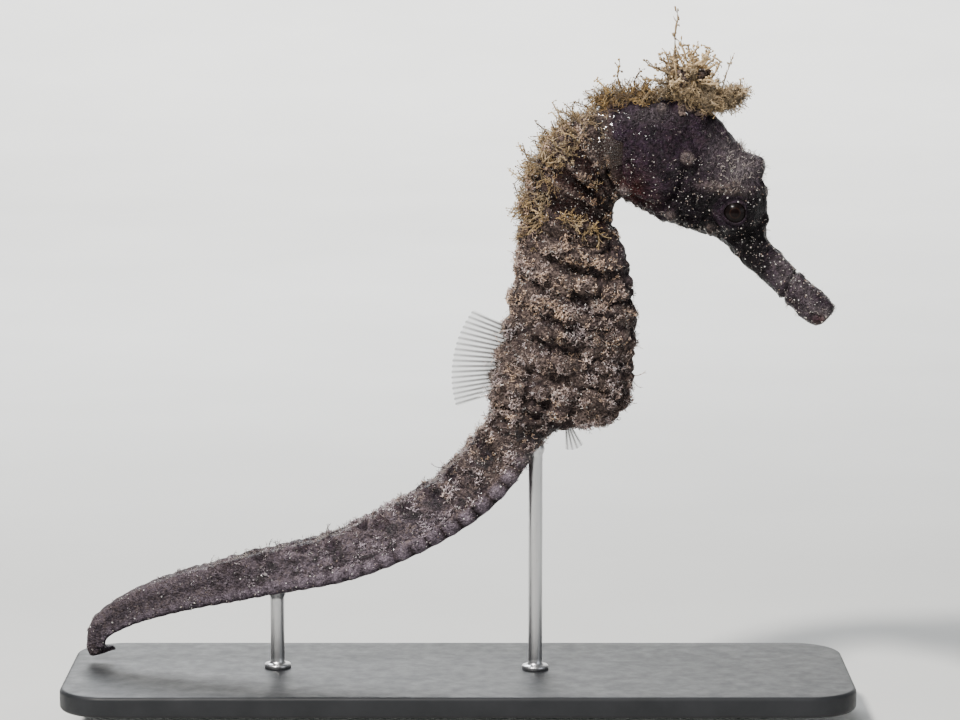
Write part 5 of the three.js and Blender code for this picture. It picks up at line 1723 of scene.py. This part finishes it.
def frond_mesh(name, feet, aims, lengths, widths, seed):
    """Points that carry the aim and size of each frond."""
    mesh = bpy.data.meshes.new(name)
    mesh.vertices.add(len(feet))
    mesh.vertices.foreach_set("co", (np.asarray(feet) * MM).astype(np.float32).ravel())
    random = np.random.default_rng(seed)
    store_values(
        mesh,
        aim=unit(np.asarray(aims, float)),
        twist=random.uniform(0, 6.28, len(feet)),
        stretch=np.c_[widths, widths, np.asarray(lengths) / FROND_REACH],
        skin_place=root_places(feet),
        pale=weed_paleness(np.asarray(feet)[:, 0]),
    )
    return mesh


def spread_out(fronds):
    """A list of fronds as arrays, turned with the head."""
    feet, aims, lengths, widths = (np.array(column, float) for column in zip(*fronds))
    turned_feet = turned(feet)
    return turned_feet, turned(feet + aims) - turned_feet, lengths, widths


crown_frond_points = frond_mesh("crown_frond_points", *spread_out(crown_fronds()), 71)
inputs = {"Seeds": FROND, "Seed": 61, "Material": weed_material}
grow("crown_fronds", plant, crown_frond_points, inputs, "weed", ["coronet"])

feet, aims, lengths, widths = spread_out(NAPE_FRONDS)
random = np.random.default_rng(72)
for i in range(MANE_COUNT):
    share = mix(0.02, 0.92, (i + 0.5) / MANE_COUNT)
    row = int(np.argmin(np.abs(S[:, 0] - mix(0.05, 3.3, share))))
    flank = random.uniform(-2.1, 2.1)
    column = int(np.argmin(np.abs(phi[row, :HALF] - abs(flank))))
    column = column if flank < 0 else (COLUMNS - column) % COLUMNS
    normal = skin_normals[row, column]
    lift = 1.5 + 1.6 * math.sin(math.pi * mix(0.15, 1, share)) - 0.3 * abs(flank)
    feet = np.vstack([feet, skin[row, column]])
    aims = np.vstack([aims, normal + [0, 0, 0.35 * (1 - share)] + 0.25 * random.normal(size=3)])
    lengths, widths = np.r_[lengths, lift + 0.6 * (i % 3)], np.r_[widths, MANE_WIDTH]
mane_frond_points = frond_mesh("mane_frond_points", feet, aims, lengths, widths, 73)
grow("mane_fronds", plant, mane_frond_points, {**inputs, "Seed": 62}, "weed", ["mane"])

# %% [markdown]
# ## Fins
# A fin is a thin web with rays. It is built as a flat slab, thicker along each ray, with a scalloped edge
# and a slow ripple. The web is nearly clear between the rays, and the rays fade towards the edge.

# %% A slab with rays
def fin_piece(name, start, end, out, spread, length, rays, arch, share_of_turn=0, mirror=1):
    """A fin on its root line. Its rays fan out by spread, and its edge is arched."""
    start, end, out = (np.array(given, float) for given in (start, end, out))
    along, out = unit(end - start), unit(out)
    thin = unit(np.cross(along, out))
    steps_out = 26
    t = np.linspace(0, 1, rays * 10 + 1)
    r = np.linspace(0, 1, steps_out)
    fan = (t - 0.5) * spread
    # Turn the outward direction about the fin's normal.
    aim_here = np.cos(fan)[:, None] * out + np.sin(fan)[:, None] * np.cross(thin, out)
    on_ray = 0.5 - 0.5 * np.cos(2 * np.pi * rays * t)
    reach = length * (1 - arch * (2 * t - 1) ** 2) - 0.22 * (1 - on_ray) * length / 6
    foot = start + t[:, None] * (end - start)
    middle = foot[:, None] + (r[None, :, None] * (reach[:, None, None] + 1.2) - 1.2) * aim_here[:, None]
    ripple = 0.10 * length / 6 * np.sin(3.1 * np.pi * t)[:, None] * r[None]
    middle = middle + ripple[..., None] * thin
    taper = mix(1.0, 0.35, r)[None]
    thin_sides = np.minimum(1, np.minimum(t, 1 - t) * rays * 5)[:, None]
    edge = np.minimum(1, (1 - r) * steps_out / 2)[None] * thin_sides
    half = (0.03 + 0.13 * on_ray[:, None] ** 2.5) * taper * edge + 0.004
    front, behind = middle + half[..., None] * thin, middle - half[..., None] * thin
    grid = np.concatenate([front, behind[::-1]]).transpose(1, 0, 2)
    rows, columns = grid.shape[:2]
    quads = skin_faces(rows, columns)
    i = np.arange(columns // 2 - 1)
    caps = []
    for first in (0, (rows - 1) * columns):
        cap = np.stack([first + i, first + i + 1, first + columns - 2 - i, first + columns - 1 - i], -1)
        caps.append(cap if first else cap[:, ::-1])
    points, faces = grid.reshape(-1, 3), np.vstack([quads, *caps])
    points = turned(points * [1, mirror, 1], share_of_turn)
    mesh = mesh_of(name, points, outward(points, faces))
    ray = np.repeat(np.r_[on_ray, on_ray[::-1]][None], rows, 0) ** 1.1
    store_values(mesh, ray=ray.ravel(), outer=np.repeat(r, columns))
    return piece(name, mesh)


PECTORAL = ([23.4, -5.0, 79.5], [23.9, -5.0, 75.9], [-0.86, -0.5, 0.1], -0.75, 3.8, 8, 0.4)
# Node: name, start and end of the root, the way out, how far the rays fan, length, rays and arch of the edge.
FINS = {
    "dorsal_fin": ("dorsal_fin_web", [6.4, 0, 53.0], [4.2, 0, 42.6], [-1, 0, 0.06], -0.75, 6.1, 18, 0.22),
    "anal_fin": ("anal_fin_web", [16.9, 0, 37.1], [15.2, 0, 36.6], [0.3, 0, -1], -0.6, 2.0, 4, 0.2),
    "pectoral_fin_right": ("pectoral_web_right", *PECTORAL, 1),
    "pectoral_fin_left": ("pectoral_web_left", *PECTORAL, 1, -1),
}
fin_material, tree, shader = new_material("fin")
ray, outer = mask_of(tree, "ray"), mask_of(tree, "outer")
speckle = noise(tree, object_place(tree), 2400, 3)
mottle = span(tree, speckle, 0.35, 0.65)
web_colour = blend(tree, mottle, (0.046, 0.035, 0.029), (0.070, 0.054, 0.042))
ray_share = times(tree, ray, span(tree, outer, 0.1, 0.95, 0.85, 0.35))
finish = {
    "Base Color": blend(tree, ray, web_colour, (0.026, 0.016, 0.013)),
    "Alpha": math_node(tree, "MAXIMUM", ray_share, span(tree, outer, 0.15, 0.5, 0.36, 0.10)),
    "Normal": bump_of(tree, speckle, 0.3, 0.00003),
    "Roughness": span(tree, speckle, 0.3, 0.7, 0.12, 0.22),
}
join(tree, shader, finish)
for node_name, fin in FINS.items():
    obj = fin_piece(*fin)
    obj.data.materials.append(fin_material)
    dress(obj, "fin", node_name)
    low, high = (np.array(corner) / MM for corner in (obj.bound_box[0], obj.bound_box[6]))
    print(obj.name + ": from", low.round(1), "to", high.round(1))

# %% [markdown]
# ## The stand
# The plate is a rounded slab with a soft bevel, dark and satin. Two steel rods rise from small collars and
# widen a little where they end, inside the body.

# %% Stand plate
def outline_of_plate(half_x, half_y, corner, count=48):
    """A rectangle with round corners, as a ring of points."""
    ring = []
    for turn_quarter, (sx, sy) in enumerate([(1, 1), (-1, 1), (-1, -1), (1, -1)]):
        angle = np.linspace(0, np.pi / 2, count) + turn_quarter * np.pi / 2
        centre = np.array([sx * (half_x - corner), sy * (half_y - corner)])
        ring.append(centre + corner * np.stack([np.cos(angle), np.sin(angle)], -1))
    return np.vstack(ring)


plate_low, plate_high = node_box("stand_base")
plate_middle = (plate_low + plate_high) / 2
half_x, half_y = (plate_high - plate_low)[:2] / 2
thick = plate_high[2] - plate_low[2]
BEVEL, PLATE_CORNER, SMALLEST_CORNER = 0.6, 7, 0.6
edge_steps = np.linspace(0, np.pi / 2, 9)
closing, opening = BEVEL * (1 - np.sin(edge_steps)), BEVEL * (1 - np.cos(edge_steps))
inset = np.r_[15, 8, 3, closing, opening, 3, 8, 15]
height = np.r_[0, 0, 0, opening, thick - closing, thick, thick, thick]
plate_rows = []
for in_by, rise in zip(inset, height):
    ring = outline_of_plate(half_x - in_by, half_y - in_by, max(PLATE_CORNER - in_by, SMALLEST_CORNER))
    plate_rows.append(np.c_[ring + plate_middle[:2], np.full(len(ring), plate_low[2] + rise)])
points, faces = closed_tube(np.array(plate_rows))
plate_mesh = mesh_of("stand_plate", points, outward(points, faces))
base_material, tree, shader = new_material("base")
place = object_place(tree)
mottle = span(tree, noise(tree, place, 160, 4), 0.3, 0.7)
finish = {
    "Base Color": blend(tree, mottle, (0.014, 0.015, 0.017), (0.021, 0.022, 0.025)),
    "Roughness": span(tree, noise(tree, place, 500, 3), 0.3, 0.7, 0.42, 0.55),
    "Normal": bump_of(tree, noise(tree, place, 2600, 2), 0.25, 0.00005),
    "Specular IOR Level": 0.22,
}
join(tree, shader, finish)
plate_mesh.materials.append(base_material)
dress(piece("stand_plate", plate_mesh), "base", "stand_base")
print("plate:", 2 * len(faces), "triangles")

# %% Rods
steel_material, tree, shader = new_material("steel")
stretched = put(tree, "ShaderNodeMapping", {"Vector": object_place(tree), "Scale": (1, 1, 0.02)}).outputs[0]
brushed = noise(tree, stretched, 9000, 2)
steel_colour = blend(tree, brushed, (0.50, 0.50, 0.51), (0.62, 0.62, 0.63))
finish = {"Base Color": steel_colour, "Roughness": span(tree, brushed, 0.3, 0.7, 0.26, 0.42), "Metallic": 1.0}
join(tree, shader, finish)
# Each rod's name, and how far it goes on inside the body. Its outline is given in pairs, radius and height.
for name, buried in (("front", 1.2), ("rear", 1.0)):
    low, high = node_box("stand_rod_" + name)
    middle, top = (low + high) / 2, high[2] + buried
    rod = [(0.02, 3.0), (1.9, 3.0), (1.9, 3.5), (1.8, 3.65), (1.3, 3.7), (1.12, 3.85), (1.0, 4.1)]
    rod += [(1.0, z_up) for z_up in np.linspace(4.6, high[2] - 1.2, 12)]
    rod += [(1.02, high[2] - 0.9), (1.25, high[2] - 0.4), (1.3, high[2] + 0.1), (1.1, top - 0.2), (0.03, top)]
    points, faces = closed_tube(around(rod, 48) + [middle[0], middle[1], 0])
    mesh = mesh_of("rod_" + name, points, outward(points, faces))
    mesh.materials.append(steel_material)
    dress(piece("rod_" + name, mesh), "steel", "stand_rod_" + name)
    print(mesh.name + ": up to", round(float(top), 1), "mm")

# %% [markdown]
# ## Stage, light and camera
# The animal is shown as in a museum's photo studio: a pale sweep that runs up behind it, a key light from the
# upper left, a weaker soft fill from the right and a cool rim from behind. The camera looks from the
# animal's right side, eight degrees above the horizon, through a long lens.

# %% Stage
sweep = [(-0.8, 0), (0.5, 0), (0.9, 0.03), (1.25, 0.14), (1.5, 0.4), (1.6, 0.8), (1.62, 1.6)]
sweep = spline(sweep, np.linspace(0, len(sweep) - 1, 60)) / MM
sweep_points = [[side / MM, run, rise] for run, rise in sweep for side in (-2.5, 2.5)]
sweep_faces = [[2 * i, 2 * i + 1, 2 * i + 3, 2 * i + 2] for i in range(len(sweep) - 1)]
floor = piece("floor", mesh_of("floor", sweep_points, sweep_faces))
floor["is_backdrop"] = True
floor_material, tree, shader = new_material("floor")
mottle = span(tree, noise(tree, object_place(tree), 14, 4), 0.3, 0.7)
colour = blend(tree, mottle, (0.56, 0.56, 0.545), (0.60, 0.60, 0.585))
join(tree, shader, {"Base Color": colour, "Roughness": 0.9})
floor.data.materials.append(floor_material)
print("floor: a sweep of", len(sweep_faces), "strips")

# %% Lights
TARGET = Vector((0.00308, 0, 0.0478))


def aim(obj, target):
    obj.rotation_mode = "QUATERNION"
    obj.rotation_quaternion = (Vector(target) - obj.location).to_track_quat("-Z", "Y")


def area_light(name, place, power, size, colour, target=TARGET):
    light = bpy.data.lights.new(name, "AREA")
    light.shape, light.size, light.energy, light.color = "DISK", size, power, colour
    obj = bpy.data.objects.new(name, light)
    bpy.context.scene.collection.objects.link(obj)
    obj.location = place
    aim(obj, target)


area_light("key", (-0.22, -0.34, 0.52), 8.5, 0.08, (1.0, 0.97, 0.92))
area_light("fill", (0.50, -0.42, 0.22), 0.7, 0.40, (0.90, 0.95, 1.0))
area_light("rim", (-0.10, 0.42, 0.38), 3.0, 0.25, (0.94, 0.97, 1.0))
area_light("sweep", (0.0, 0.75, 0.9), 40.0, 0.9, (1.0, 1.0, 1.0), (0, 1.5, 0.35))
world = bpy.data.worlds.new("studio")
bpy.context.scene.world = world
world.use_nodes = True
join(world.node_tree, world.node_tree.nodes["Background"], {"Color": (0.93, 0.96, 1.0, 1), "Strength": 0.20})
print("lights: key, fill, rim and a soft surround")

# %% Camera
ELEVATION, DISTANCE, FRAME_WIDTH, SENSOR_WIDTH = math.radians(8), 0.520, 0.1362, 36
camera_data = bpy.data.cameras.new("camera")
camera = bpy.data.objects.new("camera", camera_data)
bpy.context.scene.collection.objects.link(camera)
camera_data.sensor_width = SENSOR_WIDTH
camera_data.lens = SENSOR_WIDTH * DISTANCE / FRAME_WIDTH
camera_data.clip_start = 0.01
camera.location = TARGET + DISTANCE * Vector((0, -math.cos(ELEVATION), math.sin(ELEVATION)))
aim(camera, TARGET)
bpy.context.scene.camera = camera
print("camera: lens", round(camera_data.lens, 1), "mm")

# %% Size of the dressed model
low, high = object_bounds()
sizes = {"cad": [list(cad_low), list(cad_high)], "visual": [list(low), list(high)]}
for label, size in (("solids", cad_high - cad_low), ("dressed", high - low)):
    print("size of the", label, "in mm:", [round(v / MM, 2) for v in size])
